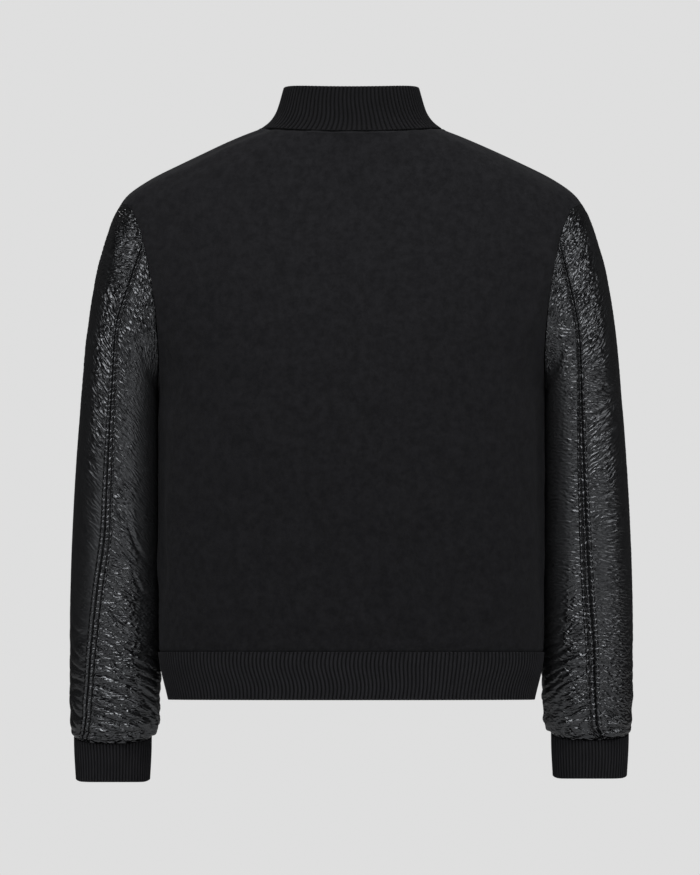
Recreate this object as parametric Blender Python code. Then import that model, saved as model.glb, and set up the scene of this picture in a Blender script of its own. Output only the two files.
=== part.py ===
"""A varsity jacket: wool body, leather sleeves, rib-knit collar, hem band and cuffs.

The jacket is hollow and filled out as if worn. Metres, +Z up. The front faces -Y and the wearer's
left is +X. The origin is the middle of the neck opening, level with the collar seam at its sides.

Every piece is a wall between an outer grid of points and an inner one. A grid's rows run down the
garment, and its columns run anticlockwise as seen from above.
"""
import math
from collections import namedtuple

import bmesh
import bpy
import numpy as np

# Cloth
WOOL_THICKNESS = 0.0025
LEATHER_THICKNESS = 0.0020
RIB_THICKNESS = 0.0030
RIB_RAISE = 0.0008
SEAM_GAP = 0.0003

# Body
BODY_ROUNDNESS = 2.4        # exponent of the body's rounded sections
BACK_COLUMNS = 24
FRONT_COLUMNS = 12
FRONT_OVERLAP = 0.014       # how far each front passes the middle
TUCK_START = 0.060          # the right front starts to pass under the left this far from the middle
TUCK_END = 0.022

# Sleeves
SLEEVE_ROUNDNESS = 2.2
BACK_NOTCH = 4              # armhole row where the sleeve's back seam starts
FRONT_NOTCH = 9             # armhole row where its front seam starts

# Rib-knit trims
HEM_RIBS = 250
COLLAR_RIBS = 116
CUFF_RIBS = 66
HEM_DEPTH = 0.055
COLLAR_END_GAP = 0.0015     # from the middle of the front to each end of the collar
COLLAR_CORNER = 0.014       # radius of the collar's front corners
COLLAR_LEAN = 0.80          # how much the collar draws in front to back, against side to side
CUFF_CORNER = 0.003         # how far the cuff's lower edge rises at its two sides
CUFF_CORNER_POWER = 14      # and how close to them
CUFF_TILT = 0.08            # the lower edge's rise towards the back

# Snaps
SNAP_COUNT = 7
SNAP_TOP = -0.105
SNAP_PITCH = 0.0865
CAP_RADIUS = 0.0075
CAP_HEIGHT = 0.0025
POST_RADIUS = 0.0060
POST_HEIGHT = 0.0010
SNAP_SIDES = 14

# The body's outer surface. level is the height of a row at the side of the body, back_lift its rise
# at the middle of the back, front_drop its fall at the middle of the front, and dip_power how late
# along the row that starts.
TorsoRow = namedtuple(
    "TorsoRow", "level half_width back_depth front_depth back_lift dip_power front_drop"
)
TORSO = (
    TorsoRow(0.000, 0.1030, 0.0850, 0.0950, -0.0070, 2.20, 0.085),
    TorsoRow(-0.009, 0.1270, 0.0865, 0.0955, -0.0065, 2.20, 0.083),
    TorsoRow(-0.021, 0.1555, 0.0885, 0.0965, -0.0060, 2.20, 0.080),
    TorsoRow(-0.039, 0.1940, 0.0915, 0.0985, -0.0050, 2.20, 0.076),
    TorsoRow(-0.058, 0.2312, 0.0950, 0.1010, -0.0040, 2.20, 0.071),
    TorsoRow(-0.076, 0.2574, 0.0985, 0.1035, -0.0030, 2.20, 0.067),
    TorsoRow(-0.085, 0.2645, 0.1005, 0.1050, -0.0025, 2.20, 0.065),
    TorsoRow(-0.094, 0.2700, 0.1025, 0.1065, -0.0020, 2.20, 0.063),
    TorsoRow(-0.113, 0.2765, 0.1065, 0.1095, -0.0010, 2.20, 0.059),
    TorsoRow(-0.138, 0.2780, 0.1120, 0.1140, 0.0000, 2.20, 0.054),
    TorsoRow(-0.168, 0.2720, 0.1180, 0.1190, 0.0000, 2.20, 0.048),
    TorsoRow(-0.214, 0.2530, 0.1250, 0.1260, 0.0000, 2.20, 0.039),
    TorsoRow(-0.245, 0.2395, 0.1280, 0.1290, 0.0000, 2.20, 0.033),
    TorsoRow(-0.270, 0.2295, 0.1295, 0.1305, 0.0002, 2.20, 0.029),
    TorsoRow(-0.300, 0.2224, 0.1300, 0.1315, 0.0005, 2.20, 0.024),
    TorsoRow(-0.340, 0.2218, 0.1295, 0.1315, 0.0010, 2.20, 0.018),
    TorsoRow(-0.400, 0.2215, 0.1280, 0.1300, 0.0018, 2.00, 0.010),
    TorsoRow(-0.500, 0.2213, 0.1240, 0.1270, 0.0034, 1.50, 0.002),
    TorsoRow(-0.570, 0.2212, 0.1210, 0.1240, 0.0048, 1.00, 0.000),
    TorsoRow(-0.600, 0.2206, 0.1190, 0.1210, 0.0055, 0.83, 0.000),
    TorsoRow(-0.655, 0.2095, 0.1160, 0.1160, 0.0063, 0.83, 0.000),
)
SHOULDER_LEVELS = (0.000, -0.008, -0.020, -0.038, -0.057, -0.073)
SIDE_LEVELS = (-0.345, -0.400, -0.460, -0.520, -0.568, -0.600)
# A row that ends at the shoulder point lies lower than that along the middle of its panel, and the
# rows over and under it share out the difference.
MIDDLE_OF_SHOULDER_ROW = -0.112

# The armhole, from the shoulder point to the underarm: how far it reaches back and forward.
ArmholeRow = namedtuple("ArmholeRow", "level back front")
ARMHOLE = (
    ArmholeRow(-0.0850, 0.0000, 0.0000),
    ArmholeRow(-0.0875, 0.0280, 0.0240),
    ArmholeRow(-0.0940, 0.0480, 0.0400),
    ArmholeRow(-0.1130, 0.0620, 0.0560),
    ArmholeRow(-0.1320, 0.0690, 0.0660),
    ArmholeRow(-0.1550, 0.0740, 0.0730),
    ArmholeRow(-0.1800, 0.0755, 0.0770),
    ArmholeRow(-0.2050, 0.0735, 0.0780),
    ArmholeRow(-0.2300, 0.0680, 0.0740),
    ArmholeRow(-0.2550, 0.0580, 0.0640),
    ArmholeRow(-0.2780, 0.0420, 0.0470),
    ArmholeRow(-0.2930, 0.0220, 0.0250),
    ArmholeRow(-0.3000, 0.0000, 0.0000),
)

# Sections across the left sleeve, from its cap to its seam with the cuff. The seam angles are
# measured round the section from its outer edge, towards the back and towards the front. The right
# sleeve is the left one mirrored, but hangs turned, with its back seam nearer the body.
SleeveRow = namedtuple(
    "SleeveRow",
    "outer_x outer_z inner_x inner_z half_depth centre_y back_dip left_seam right_seam front_seam",
)
SLEEVE = (
    SleeveRow(0.2748, -0.1035, 0.2228, -0.306, 0.0780, -0.005, 0.0000, 80, 86, 118),
    SleeveRow(0.2860, -0.1380, 0.2225, -0.318, 0.0790, -0.007, 0.0000, 78, 87, 120),
    SleeveRow(0.2948, -0.1720, 0.2223, -0.336, 0.0780, -0.009, 0.0000, 77, 89, 122),
    SleeveRow(0.3053, -0.2410, 0.2221, -0.372, 0.0760, -0.012, 0.0000, 80, 92, 125),
    SleeveRow(0.3115, -0.3100, 0.2219, -0.412, 0.0730, -0.014, 0.0000, 80, 93, 127),
    SleeveRow(0.3170, -0.3800, 0.2218, -0.455, 0.0690, -0.015, 0.0000, 80, 93, 129),
    SleeveRow(0.3210, -0.4480, 0.2217, -0.502, 0.0640, -0.016, 0.0000, 79, 92, 131),
    SleeveRow(0.3238, -0.5170, 0.2215, -0.553, 0.0590, -0.018, 0.0005, 71, 90, 133),
    SleeveRow(0.3250, -0.5860, 0.2210, -0.607, 0.0530, -0.022, 0.0015, 63, 86, 135),
    SleeveRow(0.3248, -0.6400, 0.2210, -0.648, 0.0480, -0.027, 0.0030, 57, 84, 136),
    SleeveRow(0.3240, -0.6800, 0.2234, -0.682, 0.0430, -0.031, 0.0045, 52, 82, 136),
    SleeveRow(0.3230, -0.6940, 0.2268, -0.694, 0.0385, -0.033, 0.0055, 46, 78, 136),
    SleeveRow(0.3200, -0.6998, 0.2323, -0.6998, 0.0330, -0.034, 0.0060, 44, 76, 136),
)
# Where the sleeve's rings lie between those sections, closer together over the folds at the cuff.
SLEEVE_RINGS = (
    0.0, 1.0, 2.0, 3.0, 4.0, 5.0, 6.0, 7.0, 8.0, 9.0, 9.7, 10.35, 10.7, 11.1, 11.55, 12.0, 12.5, 13.0,
)
# Soft folds where the sleeve gathers into the cuff: place between sections, height and half width.
CuffFold = namedtuple("CuffFold", "place height reach")
CUFF_FOLDS = (
    CuffFold(12.0, 0.0008, 0.55),
    CuffFold(11.1, 0.0012, 0.50),
    CuffFold(10.35, 0.0010, 0.45),
)

# The right sleeve hangs a little shorter than the left one.
RIGHT_SLEEVE_SHORTER = 0.0040

# The collar: half the distance across it at each height over its seam.
CollarRow = namedtuple("CollarRow", "height half_width")
COLLAR = (
    CollarRow(0.0000, 0.1030),
    CollarRow(0.0046, 0.0966),
    CollarRow(0.0110, 0.0904),
    CollarRow(0.0210, 0.0846),
    CollarRow(0.0480, 0.0765),
)
COLLAR_BACK_EXTRA = 0.004   # the collar is this much deeper at the middle of the back

# The cuff below the sleeve: the height of each row under the seam, and its section.
CuffRow = namedtuple("CuffRow", "drop outer_x inner_x half_depth")
CUFF = (
    CuffRow(0.0000, 0.3200, 0.2323, 0.0330),
    CuffRow(0.0140, 0.3197, 0.2325, 0.0325),
    CuffRow(0.0525, 0.3177, 0.2343, 0.0300),
)

# Materials
WOOL_BLACK = (0.012, 0.012, 0.014)
LEATHER_BLACK = (0.010, 0.010, 0.011)
KNIT_BLACK = (0.011, 0.011, 0.012)
SNAP_METAL = (0.055, 0.055, 0.060)


# --- Small tools -----------------------------------------------------------------------------

def unit(vectors):
    """Scale vectors to length 1."""
    return vectors / np.linalg.norm(vectors, axis=-1, keepdims=True)


def power(values, exponent):
    """Raise values to a power and keep their sign."""
    return np.sign(values) * np.abs(values) ** exponent


def smooth_step(values):
    """Ease from 0 to 1."""
    values = np.clip(values, 0.0, 1.0)
    return values * values * (3.0 - 2.0 * values)


def read_column(table, column, at):
    """Read one column of a table on a smooth curve through its rows, which never overshoots them."""
    keys = np.array([row[0] for row in table])
    values = np.array([getattr(row, column) for row in table])
    order = np.argsort(keys)
    keys, values = keys[order], values[order]
    steps = np.diff(keys)
    slopes = np.diff(values) / steps
    tangents = np.concatenate((slopes[:1], np.zeros(len(keys) - 2), slopes[-1:]))
    for i in range(1, len(keys) - 1):
        if slopes[i - 1] * slopes[i] > 0.0:
            before, after = steps[i - 1] + 2.0 * steps[i], 2.0 * steps[i - 1] + steps[i]
            tangents[i] = (before + after) / (before / slopes[i] + after / slopes[i - 1])
    at = np.clip(at, keys[0], keys[-1])
    i = np.clip(np.searchsorted(keys, at) - 1, 0, len(steps) - 1)
    t = (at - keys[i]) / steps[i]
    return (
        values[i] * (2 * t**3 - 3 * t**2 + 1)
        + values[i + 1] * (3 * t**2 - 2 * t**3)
        + steps[i] * (tangents[i] * (t**3 - 2 * t**2 + t) + tangents[i + 1] * (t**3 - t**2))
    )


def curve_through(points, places):
    """Read a smooth curve through points (along the first axis) at fractional places."""
    last = len(points) - 1
    padded = np.concatenate(([2 * points[0] - points[1]], points, [2 * points[-1] - points[-2]]))
    result = []
    for place in places:
        i = min(int(place), last - 1)
        t = place - i
        p0, p1, p2, p3 = padded[i:i + 4]
        result.append(
            0.5 * (2 * p1 + (p2 - p0) * t + (2 * p0 - 5 * p1 + 4 * p2 - p3) * t**2
                   + (3 * p1 - p0 - 3 * p2 + p3) * t**3)
        )
    return np.array(result)


def lengths_along(points):
    """Distance from the first point of a polyline to each of its points."""
    steps = np.linalg.norm(np.diff(points, axis=0), axis=1)
    return np.concatenate(([0.0], np.cumsum(steps)))


def on_polyline(points, fractions):
    """Points of a polyline at fractions of its columns."""
    columns = np.arange(len(points))
    return np.stack([np.interp(fractions, columns, points[:, i]) for i in range(3)], axis=1)


def ring_normals(rings):
    """Outward normals of closed rings, whose first axis runs down the garment."""
    down = np.gradient(rings, axis=0)
    across = np.roll(rings, -1, axis=1) - np.roll(rings, 1, axis=1)
    return unit(np.cross(down, across))


def mirrored(grid):
    """Mirror a grid of the left side to the right, and keep its columns anticlockwise."""
    return (grid * np.array((-1.0, 1.0, 1.0)))[:, ::-1]


# --- Surfaces --------------------------------------------------------------------------------

def torso_point(angle, level):
    """Outer surface of the body. Angle 0 is the left side, and 90 degrees the middle of the back."""
    angle, level = np.broadcast_arrays(np.asarray(angle, float), np.asarray(level, float))
    sine, cosine = np.sin(angle), np.cos(angle)
    at_back = sine > 0.0
    depth = np.where(
        at_back, read_column(TORSO, "back_depth", level), read_column(TORSO, "front_depth", level)
    )
    shift = np.where(
        at_back, read_column(TORSO, "back_lift", level), -read_column(TORSO, "front_drop", level)
    )
    x = read_column(TORSO, "half_width", level) * power(cosine, 2 / BODY_ROUNDNESS)
    y = depth * power(sine, 2 / BODY_ROUNDNESS)
    z = level + shift * np.abs(sine) ** read_column(TORSO, "dip_power", level)
    return np.stack((x, y, z), axis=-1)


def torso_normal(angle, level):
    """Outward normal of the body at the same places."""
    turn, drop = 0.002, 0.0005
    across = torso_point(angle + turn, level) - torso_point(angle - turn, level)
    highest = np.minimum(level + drop, 0.0)
    down = torso_point(angle, level - drop) - torso_point(angle, highest)
    return unit(np.cross(down, across))


def armhole_angle(level, side):
    """Angle of the body at which a row meets the armhole, or 0 above and below the armhole."""
    if not ARMHOLE[-1].level < level < ARMHOLE[0].level:
        return 0.0
    depth = read_column(TORSO, side + "_depth", level)
    reach = read_column(ARMHOLE, side, level)
    return math.asin((reach / depth) ** (BODY_ROUNDNESS / 2))


def overlap_angle(level):
    """Angle past the middle of the front at which a front's edge lies."""
    half_width = read_column(TORSO, "half_width", level)
    return math.asin((FRONT_OVERLAP / half_width) ** (BODY_ROUNDNESS / 2))


def panel_rows():
    """Heights of the rows of the back and the fronts, at their outer edges and in the middle."""
    edges = SHOULDER_LEVELS + tuple(row.level for row in ARMHOLE) + SIDE_LEVELS
    shoulder = len(SHOULDER_LEVELS)
    underarm = shoulder + len(ARMHOLE) - 1
    middles = np.interp(
        range(underarm + 1), (0, shoulder, underarm), (0.0, MIDDLE_OF_SHOULDER_ROW, edges[underarm])
    )
    return list(zip(edges, tuple(middles) + SIDE_LEVELS))


def row_places(edge, middle, start, stop, columns, from_edge):
    """Angles and levels that divide one row into equal lengths.

    from_edge gives how far a share of the row is from its outer edge: 0 at it, 1 in the middle.
    """
    shares = np.linspace(0.0, 1.0, 400)
    angles = start + (stop - start) * shares
    levels = edge + (middle - edge) * smooth_step(from_edge(shares))
    lengths = lengths_along(torso_point(angles, levels))
    even = np.linspace(0.0, lengths[-1], columns + 1)
    return np.interp(even, lengths, angles), np.interp(even, lengths, levels)


def torso_grid(edges, columns, from_edge):
    """Points and normals of a panel of the body whose rows run between two edges."""
    start_of, stop_of = edges
    places = np.array([
        row_places(edge, middle, start_of(edge), stop_of(edge), columns, from_edge)
        for edge, middle in panel_rows()
    ])
    return torso_point(places[:, 0], places[:, 1]), torso_normal(places[:, 0], places[:, 1])


def back_edges():
    """The back's left and right edges, as angles for a level."""
    return (lambda z: armhole_angle(z, "back")), (lambda z: math.pi - armhole_angle(z, "back"))


def front_left_edges():
    """The left front's edges: past the middle of the front, and the left side."""
    return (lambda z: -math.pi / 2 - overlap_angle(z)), (lambda z: -armhole_angle(z, "front"))


def front_right_edges():
    """The right front's edges: the right side, and past the middle of the front."""
    return (lambda z: -math.pi + armhole_angle(z, "front")), (lambda z: -math.pi / 2 + overlap_angle(z))


def tucked(grid, thickness):
    """Move a right front inward near its free edge, so that it lies under the left one."""
    under = smooth_step((grid[..., 0] + TUCK_START) / (TUCK_START - TUCK_END))
    result = grid.copy()
    result[..., 1] += under * (thickness + SEAM_GAP)
    return result


def armhole_vertices():
    """The left armhole: angles and levels, back from the shoulder point and round to it again."""
    back = [(armhole_angle(row.level, "back"), row.level) for row in ARMHOLE]
    front = [(-armhole_angle(row.level, "front"), row.level) for row in ARMHOLE[-2:0:-1]]
    return np.array(back + front)


def sleeve_columns():
    """The armhole ring, the angle of each of its vertices, and the columns of each sleeve piece.

    The top piece runs from the front seam over the shoulder to the back seam, and the under piece
    from the back seam past the underarm to the front seam.
    """
    count = 2 * (len(ARMHOLE) - 1)
    vertices = armhole_vertices()
    ring = torso_point(vertices[:, 0], vertices[:, 1])
    half_depth = max(max(row.back, row.front) for row in ARMHOLE)
    half_height = (ARMHOLE[0].level - ARMHOLE[-1].level) / 2
    rise = (vertices[:, 1] - ARMHOLE[-1].level) / half_height - 1.0
    bearings = np.arctan2(
        power(ring[:, 1] / half_depth, SLEEVE_ROUNDNESS / 2), power(rise, SLEEVE_ROUNDNESS / 2)
    )
    bearings[count // 2] = math.pi
    front_seam = count - FRONT_NOTCH
    top = [i % count for i in range(front_seam, count + BACK_NOTCH + 1)]
    under = list(range(BACK_NOTCH, front_seam + 1))
    return ring, bearings, top, under


def section_point(row, angles):
    """Points round one section of the left sleeve, at angles from its outer edge to the back."""
    outer = np.array((row.outer_x, row.centre_y, row.outer_z))
    inner = np.array((row.inner_x, row.centre_y, row.inner_z))
    to_outer = (outer - inner) / 2
    to_back = np.array((0.0, row.half_depth, -row.back_dip))
    cosine = power(np.cos(angles), 2 / SLEEVE_ROUNDNESS)[:, None]
    sine = power(np.sin(angles), 2 / SLEEVE_ROUNDNESS)[:, None]
    return (outer + inner) / 2 + to_outer * cosine + to_back * sine


def section_angles(row, side, bearings):
    """Angles of the sleeve's columns on one section, turned from the armhole's to suit its seams."""
    back_seam, front_seam = math.radians(getattr(row, side + "_seam")), math.radians(row.front_seam)
    at_armhole = (-math.pi, bearings[len(bearings) - FRONT_NOTCH], 0.0, bearings[BACK_NOTCH], math.pi)
    return np.interp(bearings, at_armhole, (-math.pi, -front_seam, 0.0, back_seam, math.pi))


def sleeve_rings(side, shorter):
    """Outer rings and normals of a sleeve, still on the left, its columns in the armhole's order."""
    ring, bearings, top, under = sleeve_columns()
    sections = []
    for row in SLEEVE:
        share = (SLEEVE[0].outer_z - row.outer_z) / (SLEEVE[0].outer_z - SLEEVE[-1].outer_z)
        section = section_point(row, section_angles(row, side, bearings))
        section[:, 2] += shorter * share
        sections.append(section)
    rings = curve_through(np.array([ring] + sections), SLEEVE_RINGS)
    normals = ring_normals(rings)
    for i, place in enumerate(SLEEVE_RINGS):
        for fold in CUFF_FOLDS:
            swell = max(0.0, 1.0 - abs(place - fold.place) / fold.reach)
            rings[i] += normals[i] * fold.height * swell
    return rings, ring_normals(rings), top, under


# --- Walls -----------------------------------------------------------------------------------

def border_indices(rows, columns):
    """Rows and columns of a grid's border, once round it."""
    top = [(0, c) for c in range(columns - 1)]
    right = [(r, columns - 1) for r in range(rows - 1)]
    bottom = [(rows - 1, c) for c in range(columns - 1, 0, -1)]
    left = [(r, 0) for r in range(rows - 1, 0, -1)]
    return top + right + bottom + left


def drawn_in(grid, normals, distance):
    """Move a grid's border into its own surface, to leave room for the seams."""
    result = grid.copy()
    loop = border_indices(*grid.shape[:2])
    for k, here in enumerate(loop):
        before, after = loop[k - 1], loop[(k + 1) % len(loop)]
        first = unit(np.cross(grid[here] - grid[before], normals[here]))
        second = unit(np.cross(grid[after] - grid[here], normals[here]))
        spread = max(0.35, 1.0 + float(first @ second))
        result[here] += (first + second) / spread * distance
    return result


def add_material(piece, color, roughness, metallic):
    """Give a piece its own plain material."""
    material = bpy.data.materials.new(piece.name)
    material.use_nodes = True
    shader = material.node_tree.nodes["Principled BSDF"]
    shader.inputs["Base Color"].default_value = (*color, 1.0)
    shader.inputs["Roughness"].default_value = roughness
    shader.inputs["Metallic"].default_value = metallic
    material.diffuse_color = (*color, 1.0)
    piece.data.materials.append(material)


def add_piece(name, vertices, faces, color, roughness, metallic=0.0):
    """Make a named object from points and faces."""
    mesh = bpy.data.meshes.new(name)
    mesh.from_pydata([tuple(float(v) for v in vertex) for vertex in vertices], [], faces)
    split = bmesh.new()
    split.from_mesh(mesh)
    bmesh.ops.triangulate(split, faces=split.faces, quad_method="SHORT_EDGE")
    split.to_mesh(mesh)
    split.free()
    mesh.shade_smooth()
    mesh.set_sharp_from_angle(angle=math.radians(40))
    piece = bpy.data.objects.new(name, mesh)
    bpy.context.collection.objects.link(piece)
    add_material(piece, color, roughness, metallic)
    return piece


def grid_faces(rows, columns, first, closed, flipped):
    """Quads of a grid whose vertices start at an index."""
    faces = []
    for r in range(rows - 1):
        for c in range(columns if closed else columns - 1):
            after = (c + 1) % columns
            face = [first + r * columns + c, first + (r + 1) * columns + c,
                    first + (r + 1) * columns + after, first + r * columns + after]
            faces.append(face[::-1] if flipped else face)
    return faces


def strip_faces(first_line, second_line, flipped):
    """Triangles between two lines of vertices that start and end side by side."""
    faces = []
    i = j = 0
    last_i, last_j = len(first_line) - 1, len(second_line) - 1
    while i < last_i or j < last_j:
        step_first = j == last_j or (i < last_i and (i + 1) * last_j <= (j + 1) * last_i)
        if step_first:
            face = [first_line[i], first_line[i + 1], second_line[j]]
            i += 1
        else:
            face = [first_line[i], second_line[j + 1], second_line[j]]
            j += 1
        faces.append(face[::-1] if flipped else face)
    return faces


def wall_piece(name, outer, inner, color, roughness, closed=False):
    """A wall between an outer and an inner grid, which may have other numbers of columns."""
    rows, outer_columns = outer.shape[:2]
    inner_rows, inner_columns = inner.shape[:2]
    start = rows * outer_columns
    vertices = np.concatenate((outer.reshape(-1, 3), inner.reshape(-1, 3)))
    faces = grid_faces(rows, outer_columns, 0, closed, False)
    faces += grid_faces(inner_rows, inner_columns, start, closed, True)

    def line(first, row, columns):
        ids = [first + row * columns + c for c in range(columns)]
        return ids + ids[:1] if closed else ids

    faces += strip_faces(line(0, 0, outer_columns), line(start, 0, inner_columns), False)
    faces += strip_faces(line(0, rows - 1, outer_columns),
                         line(start, inner_rows - 1, inner_columns), True)
    if not closed:
        left = [r * outer_columns for r in range(rows)]
        right = [r * outer_columns + outer_columns - 1 for r in range(rows)]
        inner_left = [start + r * inner_columns for r in range(inner_rows)]
        inner_right = [start + r * inner_columns + inner_columns - 1 for r in range(inner_rows)]
        faces += strip_faces(left, inner_left, True)
        faces += strip_faces(right, inner_right, False)
    return add_piece(name, vertices, faces, color, roughness)


def ribbed(rows, normals, ribs, closed=False):
    """Raise vertical ribs on rows of points: a ridge and a valley for each rib."""
    if closed:
        rows = np.concatenate((rows, rows[:, :1]), axis=1)
        normals = np.concatenate((normals, normals[:, :1]), axis=1)
    longest = lengths_along(rows[-1])
    places = np.linspace(0.0, longest[-1], 2 * ribs + 1)
    columns = np.interp(places, longest, np.arange(rows.shape[1]))
    if closed:
        columns = columns[:-1]
    raise_by = np.where(np.arange(len(columns)) % 2 == 1, RIB_RAISE, 0.0)[:, None]
    return np.array([
        on_polyline(row, columns) + unit(on_polyline(normal, columns)) * raise_by
        for row, normal in zip(rows, normals)
    ])


# --- Pieces ----------------------------------------------------------------------------------

def mitred(own, other):
    """Turn normals at a seam towards the other piece's, but not where the seam folds right back."""
    facing = np.sum(own * other, axis=-1, keepdims=True)
    return unit(own + other * smooth_step((facing + 0.1) / 0.5))


def make_body(seam_normals):
    """The back and the two fronts."""
    first = len(SHOULDER_LEVELS)
    rows = slice(first, first + len(ARMHOLE))
    half = len(ARMHOLE) - 1
    mirror = np.array((-1.0, 1.0, 1.0))

    def toward_sleeve(side, face):
        """Normals of a sleeve down the back or the front of its armhole."""
        normals = seam_normals[side]
        down = normals[:half + 1] if face == "back" else np.roll(normals, -1, axis=0)[:half - 2:-1]
        return down if side == "left" else down * mirror

    walls = {}
    for name, edges, columns, from_edge, seams in (
        ("back", back_edges(), BACK_COLUMNS, lambda share: 1.0 - np.abs(2.0 * share - 1.0),
         {0: ("left", "back"), -1: ("right", "back")}),
        ("front_left", front_left_edges(), FRONT_COLUMNS, lambda share: 1.0 - share,
         {-1: ("left", "front")}),
        ("front_right", front_right_edges(), FRONT_COLUMNS, lambda share: share,
         {0: ("right", "front")}),
    ):
        grid, normals = torso_grid(edges, columns, from_edge)
        if name == "front_right":
            grid = tucked(grid, WOOL_THICKNESS)
        outer = drawn_in(grid, normals, SEAM_GAP / 2)
        for column, (side, face) in seams.items():
            normals[rows, column] = mitred(normals[rows, column], toward_sleeve(side, face))
        inner = outer - normals * WOOL_THICKNESS
        wall_piece(name, outer, inner, WOOL_BLACK, 0.95)
        walls[name] = grid
    return walls


def make_sleeve(side, shorter):
    """One sleeve, as a top and an under piece, with their gap from the armhole."""
    rings, normals, top, under = sleeve_rings(side, shorter)
    vertices = armhole_vertices()
    body_normals = torso_normal(vertices[:, 0], vertices[:, 1])
    folded_back = np.clip(0.5 - 0.5 * np.sum(normals[0] * body_normals, axis=1), 0.0, 1.0)
    seam_normals = normals[0].copy()
    rings = rings.copy()
    rings[0] += body_normals * folded_back[:, None] * SEAM_GAP * 2
    normals[0] = mitred(normals[0], body_normals)
    for name, columns in (("sleeve_top_", top), ("sleeve_under_", under)):
        grid, directions = rings[:, columns], normals[:, columns]
        outer = drawn_in(grid, directions, SEAM_GAP / 2)
        inner = outer - directions * LEATHER_THICKNESS
        if side == "right":
            outer, inner = mirrored(outer), mirrored(inner)
        wall_piece(name + side, outer, inner, LEATHER_BLACK, 0.35)
    return seam_normals, rings[-1]


def make_cuff(side, seam_ring):
    """A ribbed cuff on the sleeve's last ring."""
    count = len(seam_ring)
    last, first = SLEEVE[-1], CUFF[0]
    centre = np.array(((last.outer_x + last.inner_x) / 2, last.centre_y))
    offset = seam_ring[:, :2] - centre
    rows = []
    for row in CUFF:
        wide = (row.outer_x - row.inner_x) / (first.outer_x - first.inner_x)
        deep = row.half_depth / first.half_depth
        middle = centre + np.array(((row.outer_x + row.inner_x) / 2 - centre[0], 0.0))
        share = row.drop / CUFF[-1].drop
        toward_side = np.abs(offset[:, 0]) / np.abs(offset[:, 0]).max()
        flat = seam_ring[0, 2] + CUFF_TILT * offset[:, 1] * deep
        corner = CUFF_CORNER * share**2 * toward_side**CUFF_CORNER_POWER
        height = seam_ring[:, 2] * (1 - share) + flat * share - row.drop - SEAM_GAP + corner
        rows.append(np.column_stack((middle + offset * (wide, deep), height)))
    rows = np.array(rows).reshape(len(CUFF), count, 3)
    normals = ring_normals(rows)
    inner = rows - normals * RIB_THICKNESS
    outer = ribbed(rows, normals, CUFF_RIBS, closed=True)
    if side == "right":
        outer, inner = mirrored(outer), mirrored(inner)
    wall_piece("cuff_" + side, outer, inner, KNIT_BLACK, 0.95, closed=True)


def joined_row(walls, index):
    """A row of the whole body, from the left front's free edge round to the right front's."""
    left, back, right = (walls[name][index] for name in ("front_left", "back", "front_right"))
    return np.concatenate((left, back[1:], right[1:]))


def open_normals(grid):
    """Outward normals of a grid of open rows."""
    return unit(np.cross(np.gradient(grid, axis=0), np.gradient(grid, axis=1)))


def level_normals(grid):
    """The same normals, turned level."""
    return unit(open_normals(grid) * (1.0, 1.0, 0.0))


def make_hem(walls):
    """The hem band, one ribbed strip whose ends overlap as the fronts do."""
    seam = joined_row(walls, -1)
    top, bottom = SIDE_LEVELS[-1], SIDE_LEVELS[-1] - HEM_DEPTH
    rows = []
    for level in (top, (top + bottom) / 2, bottom):
        wide = read_column(TORSO, "half_width", level) / read_column(TORSO, "half_width", top)
        back = read_column(TORSO, "back_depth", level) / read_column(TORSO, "back_depth", top)
        front = read_column(TORSO, "front_depth", level) / read_column(TORSO, "front_depth", top)
        deep = np.where(seam[:, 1] > 0.0, back, front)
        backward = np.clip(seam[:, 1] / read_column(TORSO, "back_depth", top), 0.0, 1.0)
        lift = read_column(TORSO, "back_lift", level) - read_column(TORSO, "back_lift", top)
        height = seam[:, 2] + level - top + lift * backward - SEAM_GAP / 2
        rows.append(np.column_stack((seam[:, 0] * wide, seam[:, 1] * deep, height)))
    rows = np.array(rows)
    normals = level_normals(rows)
    right_end = np.arange(rows.shape[1]) > rows.shape[1] // 2
    more_tuck = RIB_THICKNESS + RIB_RAISE - WOOL_THICKNESS
    under = smooth_step((rows[..., 0] + TUCK_START) / (TUCK_START - TUCK_END))
    at_front = rows[..., 1] < 0.0
    rows[..., 1] += under * right_end * at_front * more_tuck
    wall_piece("hem_rib", ribbed(rows, normals, HEM_RIBS), rows - normals * RIB_THICKNESS,
               KNIT_BLACK, 0.95)


def collar_heights(lengths):
    """Share of the collar's height at each column, rounded off at its two front corners."""
    from_end = np.minimum(lengths, lengths[-1] - lengths)
    into_corner = np.clip(COLLAR_CORNER - from_end, 0.0, COLLAR_CORNER)
    drop = COLLAR_CORNER - np.sqrt(COLLAR_CORNER**2 - into_corner**2)
    return 1.0 - drop / COLLAR[-1].height


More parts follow.
